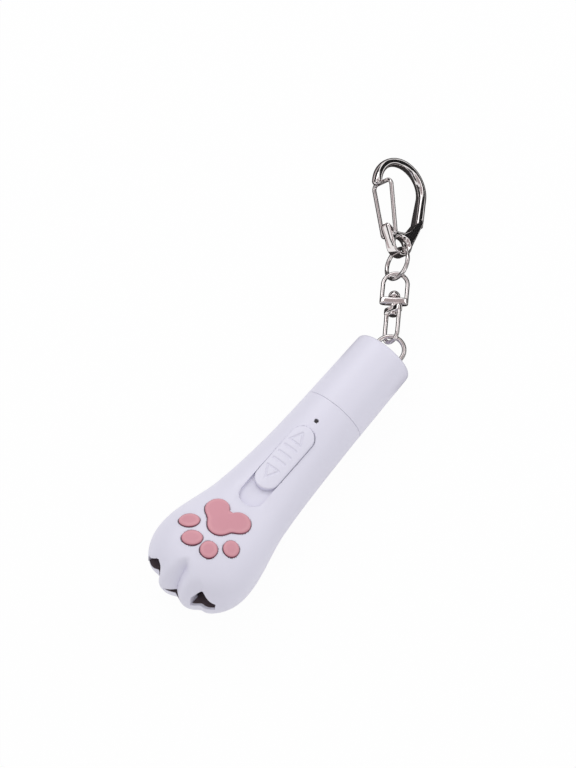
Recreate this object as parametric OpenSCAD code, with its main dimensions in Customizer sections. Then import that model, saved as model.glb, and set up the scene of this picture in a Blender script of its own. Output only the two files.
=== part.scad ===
// Cat-paw laser pointer with a plug under its cap and a swivel snap hook.
// X runs along the handle from the parting face (X = 0) to the cap end, and the paw lies at -X.
// Z points up through the pads. Lengths are millimetres.

/* [Handle] */
// Diameter of the handle where it meets the cap
handle_d = 22; // [21:0.5:24]
// Distance from the parting face to the wrist
wrist_u = 42; // [40:1:46]
// Width of the wrist
wrist_w = 27.6; // [26.4:0.2:30]
// Height of the wrist's top above the axis
wrist_top = 12; // [11.6:0.1:12.4]
// Wall thickness of both half shells
wall = 1.6; // [1.4:0.1:2]
// Thickness of the ceiling that carries the switch pocket
ceiling = 3; // [2.8:0.1:3.4]
// Thickness of the ribs inside the lower shell
rib_t = 2; // [1.2:0.2:3]

/* [Paw] */
// Distance from the parting face to the widest part of the paw
paw_u = 66; // [64:1:72]
// Width of the paw
paw_w = 36.6; // [36:0.2:40]
// Height of the paw's back above the axis
paw_top = 19; // [18.4:0.1:20]
// Length of the rounded front beyond the widest part
front_len = 17; // [16.5:0.5:20]
// Thickness of the front wall behind the toes
front_wall = 5; // [4.6:0.1:5.2]
// Height of the shells' parting line at the paw front
part_z = 4.4; // [3.6:0.1:4.8]
// Squareness of the paw's sections, where 2 is an ellipse
squareness = 2.2; // [2.1:0.05:2.6]
// Distance between neighbouring toe grooves
toe_pitch = 7.8; // [7:0.1:8.4]
// Depth of the toe grooves
groove_depth = 2.8; // [1.5:0.1:3.2]
// Distance from the widest part to where the grooves start
groove_start = 6; // [5:0.5:7]

/* [Light outlets] */
// Width of each outlet
outlet_w = 7.4; // [6.6:0.1:7.8]
// Height of the outer outlets above the parting line
outlet_h = 5.2; // [4.6:0.1:5.4]
// Height of the middle outlet above the parting line
mid_outlet_h = 2.8; // [2.4:0.1:3.6]
// Sideways distance of the outer outlets
outlet_y = 9.6; // [9.2:0.1:10]

/* [Pads] */
// Height of the pads above the shell
pad_rise = 0.9; // [0.5:0.1:1.4]
// Gap between a pad and its window
pad_gap = 0.2; // [0.1:0.05:0.3]
// Distance from the parting face to the middle of the palm pad
palm_u = 54.2; // [53.8:0.1:54.8]
// Radius of the palm pad's lobes
palm_r = 3.5; // [3.2:0.1:3.8]
// Length of a toe pad
toe_pad_l = 6.8; // [6.2:0.1:7.4]
// Width of a toe pad
toe_pad_w = 5.5; // [4.8:0.1:5.8]
// Thickness of the plate under the pads
pad_plate_t = 1.2; // [1:0.1:1.4]

/* [Switch] */
// Length of the slide knob
knob_l = 25.8; // [24:0.2:27]
// Width of the slide knob
knob_w = 8.6; // [7.6:0.2:9.2]
// Distance the knob slides towards the paw
slide_travel = 7.5; // [5:0.25:8]
// Distance from the parting face to the rear end of the knob
knob_u = 11.7; // [11:0.1:12.4]
// Height of the knob's crown above the axis
knob_top = 11.95; // [11.7:0.05:12.4]
// Radius of the crown across the knob
knob_crown = 14; // [12:1:20]
// Height of the pocket floor above the axis
pocket_z = 9.7; // [9.5:0.05:9.9]
// Running gap round the knob
knob_gap = 0.2; // [0.15:0.05:0.3]
// Diameter of the indicator hole
indicator_d = 1.3; // [1.1:0.1:1.8]
// Distance from the parting face to the indicator hole
indicator_u = 8.2; // [7.9:0.1:8.6]

/* [Electronics] */
// Thickness of the circuit board
board_t = 1.2; // [0.8:0.1:1.6]
// Width of the circuit board
board_w = 16.8; // [16:0.2:17.2]
// Distance from the parting face to the front edge of the board
board_u = 58; // [56:0.5:59]
// Length of the battery
battery_l = 34; // [28:1:38]
// Width of the battery
battery_w = 14; // [12:0.5:14.4]
// Thickness of the battery
battery_t = 5; // [4:0.2:5.4]
// Diameter of the laser barrel
barrel_d = 6; // [5:0.2:6.4]
// Length of the laser barrel
barrel_l = 14.8; // [13:0.2:15.4]
// Diameter of the two lamps beside the laser
lamp_d = 5; // [4.4:0.1:5.2]

/* [Plug and cap] */
// Width of the plug's metal shell
plug_w = 12; // [11.8:0.1:12.2]
// Height of the plug's metal shell
plug_h = 4.5; // [4.4:0.05:4.6]
// Length of the plug in front of the parting face
plug_l = 18.75; // [18:0.25:19]
// Thickness of the plug's sheet metal
plug_sheet = 0.3; // [0.25:0.05:0.4]
// Length of the neck that the cap slides on
neck_l = 6; // [4:0.5:8]
// Running gap between the neck and the cap
neck_fit = 0.1; // [0.05:0.01:0.1]
// Length of the cap
cap_l = 27; // [26.5:0.25:30]
// Diameter of the cap at its end
cap_end_d = 20.8; // [20.4:0.1:21.6]
// Rounding of the cap's end edge
cap_round = 2; // [1:0.1:2.2]
// Wall thickness of the cap
cap_wall = 2; // [1.8:0.1:2.1]
// Depth of the pocket in the cap's end
end_pocket = 3.8; // [3.6:0.1:4]
// Diameter of that pocket
end_pocket_d = 14; // [13.6:0.1:14.8]
// Diameter of the bar across the pocket
bar_d = 1.8; // [1.6:0.1:1.9]
// Gap that parts the cap from the handle
parting_gap = 0.2; // [0.1:0.05:0.3]

/* [Chain] */
// Angle of the chain to the handle, seen from above
chain_yaw = 34.5; // [20:0.5:45]
// Downward slope of the chain
chain_slope = 4.5; // [0:0.1:5]
// Outer diameter of the key ring
ring_d = 11; // [10.8:0.1:12]
// Wire diameter of the key ring
ring_wire = 1.5; // [1.3:0.05:1.5]
// Slack between the key ring and its bar
link_gap = 0.25; // [0.15:0.05:0.4]
// Wire diameter of the swivel's two bows
link_wire = 1.4; // [1.2:0.05:1.4]
// Outer length of the swivel's lower loop
loop_l = 13.65; // [12.2:0.05:14]
// Outer width of the swivel's lower loop
loop_w = 7.4; // [6.8:0.1:8]
// Outer length of the swivel's shackle
shackle_l = 12.15; // [11.5:0.05:14]
// Outer width of the swivel's shackle
shackle_w = 9.4; // [8.6:0.1:10]
// Length of each crossbar along the chain
crossbar_l = 2.6; // [2.2:0.1:3]
// Thickness of each crossbar
crossbar_t = 2.8; // [2.6:0.1:3.2]
// Diameter of the swivel pin
pin_d = 1.8; // [1.4:0.1:2]
// Running gap round the swivel pin and the gate's pivots
pin_fit = 0.05; // [0.03:0.01:0.08]
// Outer diameter of the jump ring
jump_d = 11.9; // [11:0.1:12.5]
// Wire diameter of the jump ring
jump_wire = 1.4; // [1.2:0.05:1.5]
// Roll of the swivel's lower loop about the chain
loop_roll = -45; // [-48:1:0]
// Roll of the jump ring about the chain
jump_roll = -48; // [-52:1:-42]
// Roll of the snap hook about the chain
hook_roll = 42; // [38:1:46]

/* [Snap hook] */
// Length from the middle of the eye to the middle of the arm at its top
hook_l = 29; // [28:0.5:32]
// Width between the middles of the two arms
hook_w = 18.8; // [18:0.1:19.6]
// Width of the arm seen from the front
arm_w = 2.8; // [2.4:0.1:3.2]
// Thickness of the arm
arm_t = 3.6; // [3:0.1:4]
// Thickness of the hook's base
base_t = 4.2; // [3.8:0.1:4.4]
// Diameter of the eye
eye_d = 4.5; // [4.4:0.1:4.8]
// Width of the metal round the eye
eye_web = 1.75; // [1.7:0.05:2.2]
// Wire diameter of the gate
gate_wire = 1.4; // [1.2:0.05:1.5]
// Distance between the gate's two legs
gate_w = 8.6; // [7.6:0.1:9]

/* [Hidden] */
$fn = 48;
part_eps = 0.001;
handle_r = handle_d / 2;

// Shell forms
wrist_slope = 0.13;
handle_slope = 0.03;
top_slope = 0.1;
mid_start_u = 12;
groove_run = 5;
side_delay = 4.5;
lower_groove = 0.4;
outer_toe_flank = 5;
toe_sharpness = 0.5;
handle_steps = 7;
paw_steps = 7;
front_steps = 12;
side_steps = 8;
toe_steps = 7;

// Collar at the handle's end
collar_t = 2.5;
collar_gap = 0.15;

// Switch
knob_mid_u = knob_u + knob_l / 2;
pocket_l = knob_l + slide_travel + 2 * knob_gap;
pocket_w = knob_w + 2 * knob_gap;
pocket_mid_u = knob_u - knob_gap + pocket_l / 2;
knob_clear = 0.15;
stem_l = 4.2;
stem_w = 3.4;
lever_s = 1.6;
lever_fit = 0.1;
lever_top = 6.6;
stem_z = 4.4;
switch_h = 3.4;
switch_l = slide_travel + lever_s + 6;
switch_w = 5;
lever_z = board_t / 2 + 1.6;
roof_start_u = collar_t + 0.3;
roof_end_u = knob_u - knob_gap + pocket_l + 0.3;
roof_ramp = 3;

// Board, battery and their ribs
plug_tail = 6.2;
board_rear_u = collar_t + 0.1;
battery_gap = 0.6;
battery_z = -board_t / 2 - battery_gap - battery_t;
battery_mid_u = 29;
rib_us = [16, 40];
holder_rib_u = paw_u + 0.5;

// Pads
palm_y = 0.5;
palm_lobes = [[1.4, 4.7, 0.2], [1.4, -4.7, 0.2], [-3, 0, 0],
    [-1, 2.2, -0.2], [-1, -2.2, -0.2], [-0.6, 0, 0.1]];
lobe_blend = 10;
toe_pads = [[62.2, 8.8, 57, 1.04, 0.98], [66.8, 3.8, 55, 1.04, 0.96],
    [66.6, -3.4, -35, 0.86, 1.06], [61.6, -8.2, -52, 0.85, 0.94]];
pad_plate_z = 9.2;
pad_rings = [[1, 0.1], [0.97, 0.55], [0.9, 0.85], [0.72, 1], [0.4, 1.05]];
pad_points = 36;

// Light unit
holder_u = paw_u + 0.2;
holder_l = 6.2;
holder_w = 2 * outlet_y + lamp_d + 0.9;
holder_h = 7;
holder_z = pad_plate_z - holder_h - 0.2;
light_z = holder_z + holder_h / 2;
seat_gap = 0.05;
barrel_u = paw_u + front_len - front_wall - 2.4;
barrel_bore = barrel_d - 1.4;
lens_t = 0.9;
diode_l = 5;
lamp_l = 5.4;

// Trim of the outlets
trim_t = 0.6;
trim_gap = 0.15;
trim_lip = 1.6;
trim_band = 0.9;

// Cap and key ring
cap_x = parting_gap;
neck_r = handle_r - cap_wall - neck_fit;
pocket_x = cap_l - end_pocket;
cap_floor = 1.5;
bar_x = cap_l - bar_d / 2;
ring_r = (ring_d - ring_wire) / 2;
ring_x = bar_x - bar_d / 2 - link_gap + ring_r - ring_wire / 2;

// Places along the chain, from the middle of the key ring
loop_r = (loop_w - link_wire) / 2;
loop_slack = 0.5;
loop_s = ring_r - (ring_wire + link_wire) / 2 - loop_slack;
loop_end_s = loop_s - link_wire / 2 + loop_l;
swivel_gap = 0.5;
shackle_s = loop_end_s + swivel_gap;
shackle_r = (shackle_w - link_wire) / 2;
bow_s = shackle_s + shackle_l - link_wire / 2;
ring_slack = 0.2;
jump_r = (jump_d - jump_wire) / 2;
jump_s = bow_s - (link_wire + jump_wire) / 2 - ring_slack + jump_r;
eye_s = jump_s + jump_r - jump_wire / 2 - ring_slack / 2 + eye_d / 2;
rivet_r = 1.95;
rivet_collar = 0.3;
foot_r = 1.5;
foot_h = 0.8;

// Snap hook
hook_mid_y = 2;
bow_rise = 9.2;
bow_x = hook_l - bow_rise;
arm_root = [9, -6.6];
nose_x = bow_x - 2.2;
stub = [4.7, 5.5];
stub_r = 1.4;
mouth_floor = 4;
mouth_r = 7.5;
mouth_y = 2.2;
arm_foot = [11, -7];
eye_flare = 2.6;
pivot = [2.2, 4.3];
pivot_depth = 1.2;
gate_rest_gap = 0.08;
gate_tip = [nose_x + 2, hook_mid_y + hook_w / 2 - arm_w / 2 - gate_wire / 2 - gate_rest_gap];
gate_bend = 1.8;
arm_sides = 12;

// Cubic curve from value a with slope ta to value b with slope tb, over a span
function curve(s, span, a, ta, b, tb) =
    (2 * s ^ 3 - 3 * s ^ 2 + 1) * a + (s ^ 3 - 2 * s ^ 2 + s) * ta * span
    + (3 * s ^ 2 - 2 * s ^ 3) * b + (s ^ 3 - s ^ 2) * tb * span;
function ease(s) = let (k = max(0, min(1, s))) k * k * (3 - 2 * k);
function signed_pow(v, e) = sign(v) * abs(v) ^ e;

// Half width, top and parting height of the shell at a distance u from the parting face
function half_w(u) = u < wrist_u
    ? curve(u / wrist_u, wrist_u, handle_r, handle_slope, wrist_w / 2, wrist_slope)
    : curve((u - wrist_u) / (paw_u - wrist_u), paw_u - wrist_u, wrist_w / 2, wrist_slope, paw_w / 2, 0);
function top_z(u) = u < wrist_u
    ? curve(u / wrist_u, wrist_u, handle_r, 0, wrist_top, top_slope)
    : curve((u - wrist_u) / (paw_u - wrist_u), paw_u - wrist_u, wrist_top, top_slope, paw_top, 0);
function mid_z(u) = part_z * ease((u - mid_start_u) / (paw_u - mid_start_u));
function power(u) = 2 + (squareness - 2) * ease(u / paw_u);
function roof(u) = wall
    + (ceiling - wall) * ease((u - roof_start_u) / roof_ramp) * (1 - ease((u - roof_end_u) / roof_ramp));

// Distances of the sections from the parting face, with one at each end of the thick ceiling
function section_us() =
    let (a = roof_start_u + roof_ramp, b = roof_end_u + roof_ramp)
    concat([0, roof_start_u], [for (i = [0:handle_steps]) a + (roof_end_u - a) * i / handle_steps],
        [for (i = [0:paw_steps]) b + (paw_u - b) * i / paw_steps]);

// Point of a cross section: a is the angle from the left side, side is 1 above and -1 below
function section_point(u, a, side, inset, roof_inset) =
    let (e = 2 / power(u), h = side > 0 ? top_z(u) - mid_z(u) - roof_inset : mid_z(u) + handle_r - inset)
    [-u, (half_w(u) - inset) * signed_pow(cos(a), e), mid_z(u) + side * h * signed_pow(sin(a), e)];

// How deep a toe groove is at a sideways place y, from 0 on a toe to 1 in a groove
function valley(y) = abs(y) <= toe_pitch
    ? 1 - abs(sin(180 * y / toe_pitch)) ^ toe_sharpness
    : 1 - sin(90 * min(1, (abs(y) - toe_pitch) / outer_toe_flank)) ^ toe_sharpness;

// Point of the rounded front: b falls from 90 on the back of the paw to 0 at the parting line
function front_point(b, a, side, inset, front_inset, groove) =
    let (e = 2 / squareness, k = signed_pow(sin(a), e),
        y = (paw_w / 2 - inset) * signed_pow(cos(a), e),
        h = side > 0 ? paw_top - part_z - inset : part_z + handle_r - inset,
        x = (front_len - front_inset) * k * signed_pow(cos(b), e),
        z = h * k * signed_pow(sin(b), e),
        start = groove_start + side_delay * min(1, abs(y) / toe_pitch),
        cut = groove * valley(y) * ease((x - start) / groove_run),
        f = 1 - cut / max(1, norm([x, z])))
    [-paw_u - x * f, y, part_z + side * z * f];

// Angles round a half section, with one line along every toe groove
function left_angles() =
    let (g = acos((2 * toe_pitch / paw_w) ^ (squareness / 2)))
    concat([for (i = [0:side_steps]) g * i / side_steps],
        [for (i = [1:toe_steps]) g + (90 - g) * i / toe_steps]);
function section_angles() =
    let (left = left_angles(), n = len(left))
    concat(left, [for (i = [1:n - 1]) 180 - left[n - 1 - i]]);

// Skin of a half shell as rows of points from the parting face to the tip of the paw
function skin(side, inset, front_inset, groove, inner) =
    let (angles = section_angles())
    concat([for (u = section_us()) let (lid = inner ? roof(u) : 0)
            [for (a = angles) section_point(u, a, side, inset, lid)]],
        [for (i = [1:front_steps]) let (b = 90 * (1 - i / front_steps))
            [for (a = angles) front_point(b, a, side, inset, front_inset, groove)]]);

// Height of the outer skin above a place on the back of the paw
function back_z(u, y) =
    let (over = max(0, u - paw_u), v = min(u, paw_u), p = power(v),
        k = max(0, 1 - abs(y / half_w(v)) ^ p - (over / front_len) ^ p))
    mid_z(v) + (top_z(v) - mid_z(v)) * k ^ (1 / p);

// Two triangles of a quad, left out where they have no area
function flat_tri(t, p) = norm(cross(p[t[1]] - p[t[0]], p[t[2]] - p[t[0]])) < part_eps ^ 2;
function quad(a, b, c, d, p, flip) =
    let (tris = flip ? [[a, c, b], [a, d, c]] : [[a, b, c], [a, c, d]])
    [for (t = tris) if (!flat_tri(t, p)) t];

// Closed half shell between an outer and an inner skin
module half_shell(side) {
    outer = skin(side, 0, 0, groove_depth * (side > 0 ? 1 : lower_groove), false);
    inner = skin(side, wall, front_wall, 0, true);
    rows = len(outer);
    cols = len(outer[0]);
    half = rows * cols;
    points = [for (s = [outer, inner]) for (r = s) for (q = r) q];
    flip = side < 0;
    walls = [for (i = [0:rows - 2]) for (j = [0:cols - 2]) let (k = i * cols + j)
        each concat(quad(k, k + 1, k + cols + 1, k + cols, points, flip),
            quad(half + k, half + k + cols, half + k + cols + 1, half + k + 1, points, flip))];
    ends = [for (j = [0:cols - 2]) let (k = (rows - 1) * cols + j)
        each concat(quad(j, half + j, half + j + 1, j + 1, points, flip),
            quad(k, k + 1, half + k + 1, half + k, points, flip))];
    rims = [for (i = [0:rows - 2]) let (k = i * cols, m = k + cols - 1)
        each concat(quad(k, k + cols, half + k + cols, half + k, points, flip),
            quad(m, half + m, half + m + cols, m + cols, points, flip))];
    polyhedron(points, concat(walls, ends, rims));
}

// The three windows in the front of the paw, which the lower shell's rim closes from below
module light_outlets() {
    depth = front_len - 5;
    for (y = [-outlet_y, 0, outlet_y])
        translate([-paw_u - front_len - 1, y - outlet_w / 2, part_z - 1])
            cube([depth, outlet_w, (y == 0 ? mid_outlet_h : outlet_h) + 1]);
}

// Flat shape with round ends, long in X
module stadium(l, w) {
    square([l - w, w], center = true);
    for (x = [w - l, l - w]) translate([x / 2, 0]) circle(d = w);
}

// Radius of the palm pad's outline in a direction: the farthest of its round lobes, blended by a
// high power mean
function lobe_reach(c, a, grow) =
    let (along = c[0] * cos(a) + c[1] * sin(a), r = palm_r + c[2] + grow,
        inside = r ^ 2 - c[0] ^ 2 - c[1] ^ 2 + along ^ 2)
    inside > 0 ? max(0, along + sqrt(inside)) : 0;
function palm_radius(a, grow) =
    ([for (c = palm_lobes) lobe_reach(c, a, grow) ^ lobe_blend] * [for (c = palm_lobes) 1]) ^ (1 / lobe_blend);
function palm_outline(grow, s) = [for (i = [0:pad_points - 1]) let (a = 360 * i / pad_points)
    [-palm_u, palm_y] + s * palm_radius(a, grow) * [cos(a), sin(a)]];
function toe_outline(t, grow, s) = [for (i = [0:pad_points - 1]) let (a = 360 * i / pad_points,
        l = s * (t[3] * toe_pad_l / 2 + grow) * cos(a), w = s * (t[4] * toe_pad_w / 2 + grow) * sin(a))
    [-t[0] + l * cos(t[2]) - w * sin(t[2]), t[1] - l * sin(t[2]) - w * cos(t[2])]];
function pad_outline(i, grow, s) = i == 0 ? palm_outline(grow, s) : toe_outline(toe_pads[i - 1], grow, s);
function pad_middle(i) = i == 0 ? [-palm_u, palm_y] : [-toe_pads[i - 1][0], toe_pads[i - 1][1]];

// One soft pad: a post from the plate up to the skin and a rounded crown above it
module pad(i) {
    foot = [for (q = pad_outline(i, 0, 1)) [q[0], q[1], pad_plate_z + pad_plate_t / 2]];
    crown = [for (r = pad_rings) for (q = pad_outline(i, 0, r[0]))
        [q[0], q[1], back_z(-q[0], q[1]) + r[1] * pad_rise]];
    c = pad_middle(i);
    tip = [c[0], c[1], back_z(-c[0], c[1]) + 1.06 * pad_rise];
    points = concat(foot, crown, [tip]);
    n = pad_points;
    rings = len(pad_rings) + 1;
    sides = [for (k = [0:rings - 2]) for (j = [0:n - 1])
        let (a = k * n + j, b = k * n + (j + 1) % n)
        each i == 0 ? [[a, b + n, b], [a, a + n, b + n]] : [[a, b, b + n], [a, b + n, a + n]]];
    top = [for (j = [0:n - 1]) let (a = (rings - 1) * n + j, b = (rings - 1) * n + (j + 1) % n)
        i == 0 ? [a, rings * n, b] : [a, b, rings * n]];
    floor = i == 0 ? [for (j = [0:n - 1]) j] : [for (j = [0:n - 1]) n - 1 - j];
    polyhedron(points, concat(sides, top, [floor]));
}

module upper_shell() {
    color("lavender") difference() {
        half_shell(1);
        light_outlets();
        for (i = [0:4]) translate([0, 0, pad_plate_z]) linear_extrude(paw_top)
            polygon(pad_outline(i, pad_gap, 1));
        translate([-pocket_mid_u, 0, pocket_z]) linear_extrude(paw_top) stadium(pocket_l, pocket_w);
        translate([-pocket_mid_u, 0, 0]) linear_extrude(paw_top)
            square([stem_l + slide_travel + 4 * knob_gap, stem_w + 2 * knob_gap], center = true);
        translate([-indicator_u, 0, 0]) cylinder(d = indicator_d, h = paw_top);
    }
}

// Outline of a rib that ends inside the lower shell's wall, cut off at a height
module rib_outline(u, z) {
    low = [for (a = section_angles()) section_point(u, a, -1, wall / 2, 0)];
    intersection() {
        polygon([for (q = low) [q[1], q[2]]]);
        translate([-paw_w, -paw_w + z]) square([2 * paw_w, paw_w]);
    }
}

module lower_shell() {
    color("lavender") union() {
        half_shell(-1);
        for (u = rib_us) translate([-u - rib_t / 2, 0, 0]) rotate([90, 0, 90]) linear_extrude(rib_t)
            difference() {
                rib_outline(u, -board_t / 2);
                translate([-battery_w / 2 - seat_gap, battery_z]) square([battery_w + 2 * seat_gap, paw_w]);
            }
        translate([-holder_rib_u - rib_t, 0, 0]) rotate([90, 0, 90]) linear_extrude(rib_t)
            rib_outline(paw_u, holder_z);
    }
}

module paw_pads() {
    color("pink") union() {
        for (i = [0:4]) pad(i);
        translate([0, 0, pad_plate_z]) linear_extrude(pad_plate_t) hull() {
            polygon(palm_outline(0.3, 1));
            for (t = toe_pads) polygon(toe_outline(t, 0.3, 1));
        }
    }
}

module slide_knob() {
    bottom = pocket_z + knob_clear;
    color("lavender") difference() {
        union() {
            intersection() {
                translate([-knob_mid_u, 0, bottom]) linear_extrude(paw_top) stadium(knob_l, knob_w);
                translate([-paw_u, 0, knob_top - knob_crown]) rotate([0, 90, 0])
                    cylinder(r = knob_crown, h = paw_u);
            }
            translate([-knob_stem_u() - stem_l / 2, -stem_w / 2, stem_z])
                cube([stem_l, stem_w, bottom - stem_z + 0.5]);
        }
        translate([-knob_stem_u() - lever_s / 2 - lever_fit, -lever_s / 2 - lever_fit, stem_z - 1])
            cube([lever_s + 2 * lever_fit, lever_s + 2 * lever_fit, lever_top - stem_z + 1 + lever_fit]);
    }
}

// Place of the knob's stem at rest: half a travel behind the middle of the pocket
function knob_stem_u() = pocket_mid_u - slide_travel / 2;

module indicator_pipe() {
    roof_z = top_z(indicator_u) - roof(indicator_u);
    color("dimgray") translate([-indicator_u, 0, 0]) union() {
        translate([0, 0, board_t / 2 + 1]) cylinder(d = indicator_d - 2 * seat_gap,
            h = top_z(indicator_u) - 0.3 - board_t / 2 - 1);
        translate([0, 0, roof_z - 1.15]) cylinder(d = 2.4 * indicator_d, h = 1);
    }
}

// Place on the front outline of the paw seen from above, drawn in at the sides and at the tip
function front_place(y, side_inset, tip_inset) =
    let (k = max(0, 1 - abs(y / (paw_w / 2 - side_inset)) ^ squareness))
    [-paw_u - (front_len - tip_inset) * k ^ (1 / squareness), y];

// Dark trim on the floor of the three outlets, joined by a band behind the front wall
module outlet_trim() {
    half = outlet_w / 2 - trim_gap;
    reach = outlet_y + half;
    mids = [-outlet_y, 0, outlet_y];
    side = wall + trim_gap;
    tip = front_wall + trim_gap;
    bridge = outlet_y - 2 * half;
    front = [for (i = [0:2]) each concat(
        [for (k = [-4:4]) front_place(mids[i] + half * k / 4, trim_lip, trim_lip)],
        i < 2 ? [for (k = [0:2]) front_place(mids[i] + half + bridge * k / 2, side, tip)] : [])];
    back = [for (k = [8:-1:-8]) front_place(reach * k / 8, side + trim_band, tip + trim_band)];
    color("#2a2524") translate([0, 0, part_z + seat_gap]) linear_extrude(trim_t) polygon(concat(front, back));
}

// Round hole through the light unit at a sideways place
module unit_bore(y, d) {
    translate([-holder_u - holder_l - 1, y, light_z]) rotate([0, 90, 0]) cylinder(d = d, h = holder_l + 2);
}

module emitter_holder() {
    color("#2a2524") difference() {
        translate([-holder_u - holder_l, -holder_w / 2, holder_z + seat_gap]) cube([holder_l, holder_w, holder_h]);
        unit_bore(0, barrel_d + 2 * seat_gap);
        for (y = [-outlet_y, outlet_y]) unit_bore(y, lamp_d + 2 * seat_gap);
    }
}

module laser_barrel() {
    color("goldenrod") translate([-barrel_u, 0, light_z]) rotate([0, 90, 0]) difference() {
        cylinder(d = barrel_d, h = barrel_l);
        translate([0, 0, -1]) cylinder(d = barrel_bore, h = barrel_l + 2);
    }
}

module laser_lens() {
    color("lightblue") translate([-barrel_u + 0.5, 0, light_z]) rotate([0, 90, 0])
        cylinder(d = barrel_bore - 2 * seat_gap, h = lens_t);
}

module laser_diode() {
    color("silver") translate([-barrel_u + barrel_l - diode_l + 1, 0, light_z]) rotate([0, 90, 0])
        cylinder(d = barrel_bore - 2 * seat_gap, h = diode_l);
}

// Round-nosed lamp lying along the handle
module lamp(y) {
    translate([-holder_u - lamp_l, y, light_z]) {
        rotate([0, 90, 0]) cylinder(d = lamp_d, h = lamp_l);
        intersection() {
            sphere(d = lamp_d);
            translate([-lamp_d, -lamp_d, -lamp_d]) cube([lamp_d, 2 * lamp_d, 2 * lamp_d]);
        }
    }
}

module white_lamp() {
    color("ivory") lamp(outlet_y);
}

module violet_lamp() {
    color("mediumpurple") lamp(-outlet_y);
}

module circuit_board() {
    notch_l = plug_tail - board_rear_u + 0.2;
    color("seagreen") translate([0, 0, -board_t / 2]) linear_extrude(board_t) difference() {
        translate([-board_u, -board_w / 2]) square([board_u - board_rear_u, board_w]);
        translate([-board_rear_u - notch_l, -plug_w / 2 - 0.1]) square([notch_l + 1, plug_w + 0.2]);
    }
}

module switch_body() {
    slot_l = slide_travel + lever_s + 2 * lever_fit;
    mid_u = pocket_mid_u;
    color("gray") difference() {
        translate([-mid_u - switch_l / 2, -switch_w / 2, board_t / 2]) cube([switch_l, switch_w, switch_h]);
        translate([-mid_u - slot_l / 2, -lever_s / 2 - lever_fit, lever_z - lever_fit])
            cube([slot_l, lever_s + 2 * lever_fit, switch_h + 1]);
    }
}

module switch_lever() {
    color("black") translate([-knob_stem_u() - lever_s / 2, -lever_s / 2, lever_z])
        cube([lever_s, lever_s, lever_top - lever_z]);
}

module charge_lamp() {
    color("white") translate([-indicator_u - 0.4, -0.8, board_t / 2]) cube([0.8, 1.6, 0.8]);
}

module battery() {
    color("steelblue") translate([-battery_mid_u - battery_l / 2, -battery_w / 2, battery_z])
        cube([battery_l, battery_w, battery_t]);
}

module plug_collar() {
    color("whitesmoke") difference() {
        union() {
            translate([-collar_t, 0, 0]) rotate([0, 90, 0])
                cylinder(r = handle_r - wall - collar_gap, h = collar_t);
            rotate([0, 90, 0]) cylinder(r = neck_r, h = neck_l);
        }
        translate([-collar_t - 1, -plug_w / 2 - seat_gap, -plug_h / 2 - seat_gap])
            cube([collar_t + neck_l + 2, plug_w + 2 * seat_gap, plug_h + 2 * seat_gap]);
    }
}

module plug_shell() {
    color("silver") difference() {
        translate([-plug_tail, -plug_w / 2, -plug_h / 2]) cube([plug_tail + plug_l, plug_w, plug_h]);
        translate([-plug_tail - 1, -plug_w / 2 + plug_sheet, -plug_h / 2 + plug_sheet])
            cube([plug_tail + plug_l + 2, plug_w - 2 * plug_sheet, plug_h - 2 * plug_sheet]);
        for (x = [plug_l - 7.4], y = [-2.75, 2.75])
            translate([x, y - 1.25, -plug_h]) cube([2.2, 2.5, 2 * plug_h]);
    }
}

module plug_tongue() {
    inner_w = plug_w - 2 * plug_sheet - 2 * seat_gap;
    floor_z = -plug_h / 2 + plug_sheet + seat_gap;
    color("white") translate([-plug_tail, -inner_w / 2, floor_z]) union() {
        cube([plug_tail + plug_l - 0.6, inner_w, 1.9]);
        cube([plug_tail + 6, inner_w, plug_h - 2 * plug_sheet - 2 * seat_gap]);
    }
}

module plug_contacts() {
    top = -plug_h / 2 + plug_sheet + seat_gap + 1.9;
    color("gold") for (y = [-3.5, -1, 1, 3.5])
        translate([6, y - 0.5, top]) cube([plug_l - 8, 1, 0.2]);
}

// Half outline of the cap: handle end, tapered side, rounded edge, then the two hollows
module cap_outline() {
    end_r = cap_end_d / 2;
    mouth = handle_r - cap_wall;
    difference() {
        union() {
            polygon([[0, cap_x], [handle_r, cap_x], [end_r, cap_l - cap_round], [0, cap_l - cap_round]]);
            square([end_r - cap_round, cap_l]);
            translate([end_r - cap_round, cap_l - cap_round]) circle(r = cap_round);
        }
        translate([-1, -1]) square([mouth + 1, pocket_x - cap_floor + 1]);
        translate([-1, pocket_x]) square([end_pocket_d / 2 + 1, end_pocket + 1]);
        translate([-2 * cap_l, -1]) square([2 * cap_l, 3 * cap_l]);
        translate([-1, -1]) square([2 * handle_r, cap_x + 1]);
    }
}

module cap() {
    color("lavender") union() {
        rotate([0, 90, 0]) rotate_extrude() cap_outline();
        translate([bar_x, 0, -end_pocket_d / 2 - 0.5]) cylinder(d = bar_d, h = end_pocket_d + 1);
    }
}

// Wire ring lying flat
module wire_ring(r, wire) {
    rotate_extrude() translate([r, 0]) circle(d = wire);
}

// Bow of wire with straight legs, open towards the legs: dir is 1 where the bow ends ahead
module wire_bow(r, wire, leg, dir) {
    rotate([0, 0, -90 * dir]) rotate_extrude(angle = 180) translate([r, 0]) circle(d = wire);
    for (y = [-r, r]) translate([0, y, 0]) rotate([0, -90 * dir, 0]) cylinder(d = wire, h = leg);
}

// Crossbar of a swivel half, lying across the chain, with a hole for the pin
module crossbar(w) {
    difference() {
        translate([0, 0, -crossbar_t / 2]) linear_extrude(crossbar_t) translate([crossbar_l / 2, 0])
            rotate(90) stadium(w, crossbar_l);
        translate([-1, 0, 0]) rotate([0, 90, 0]) cylinder(d = pin_d + 2 * pin_fit, h = crossbar_l + 2);
    }
}

// Place a piece on the chain, at a distance s from the middle of the key ring and rolled by an
// angle. The chain slopes down from the ring's wire, where its first link hangs.
module on_chain(s, roll) {
    translate([ring_x, 0, 0]) rotate([0, 0, chain_yaw]) translate([ring_r, 0, 0])
        rotate([0, chain_slope, 0]) translate([s - ring_r, 0, 0]) rotate([roll, 0, 0]) children();
}

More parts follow.
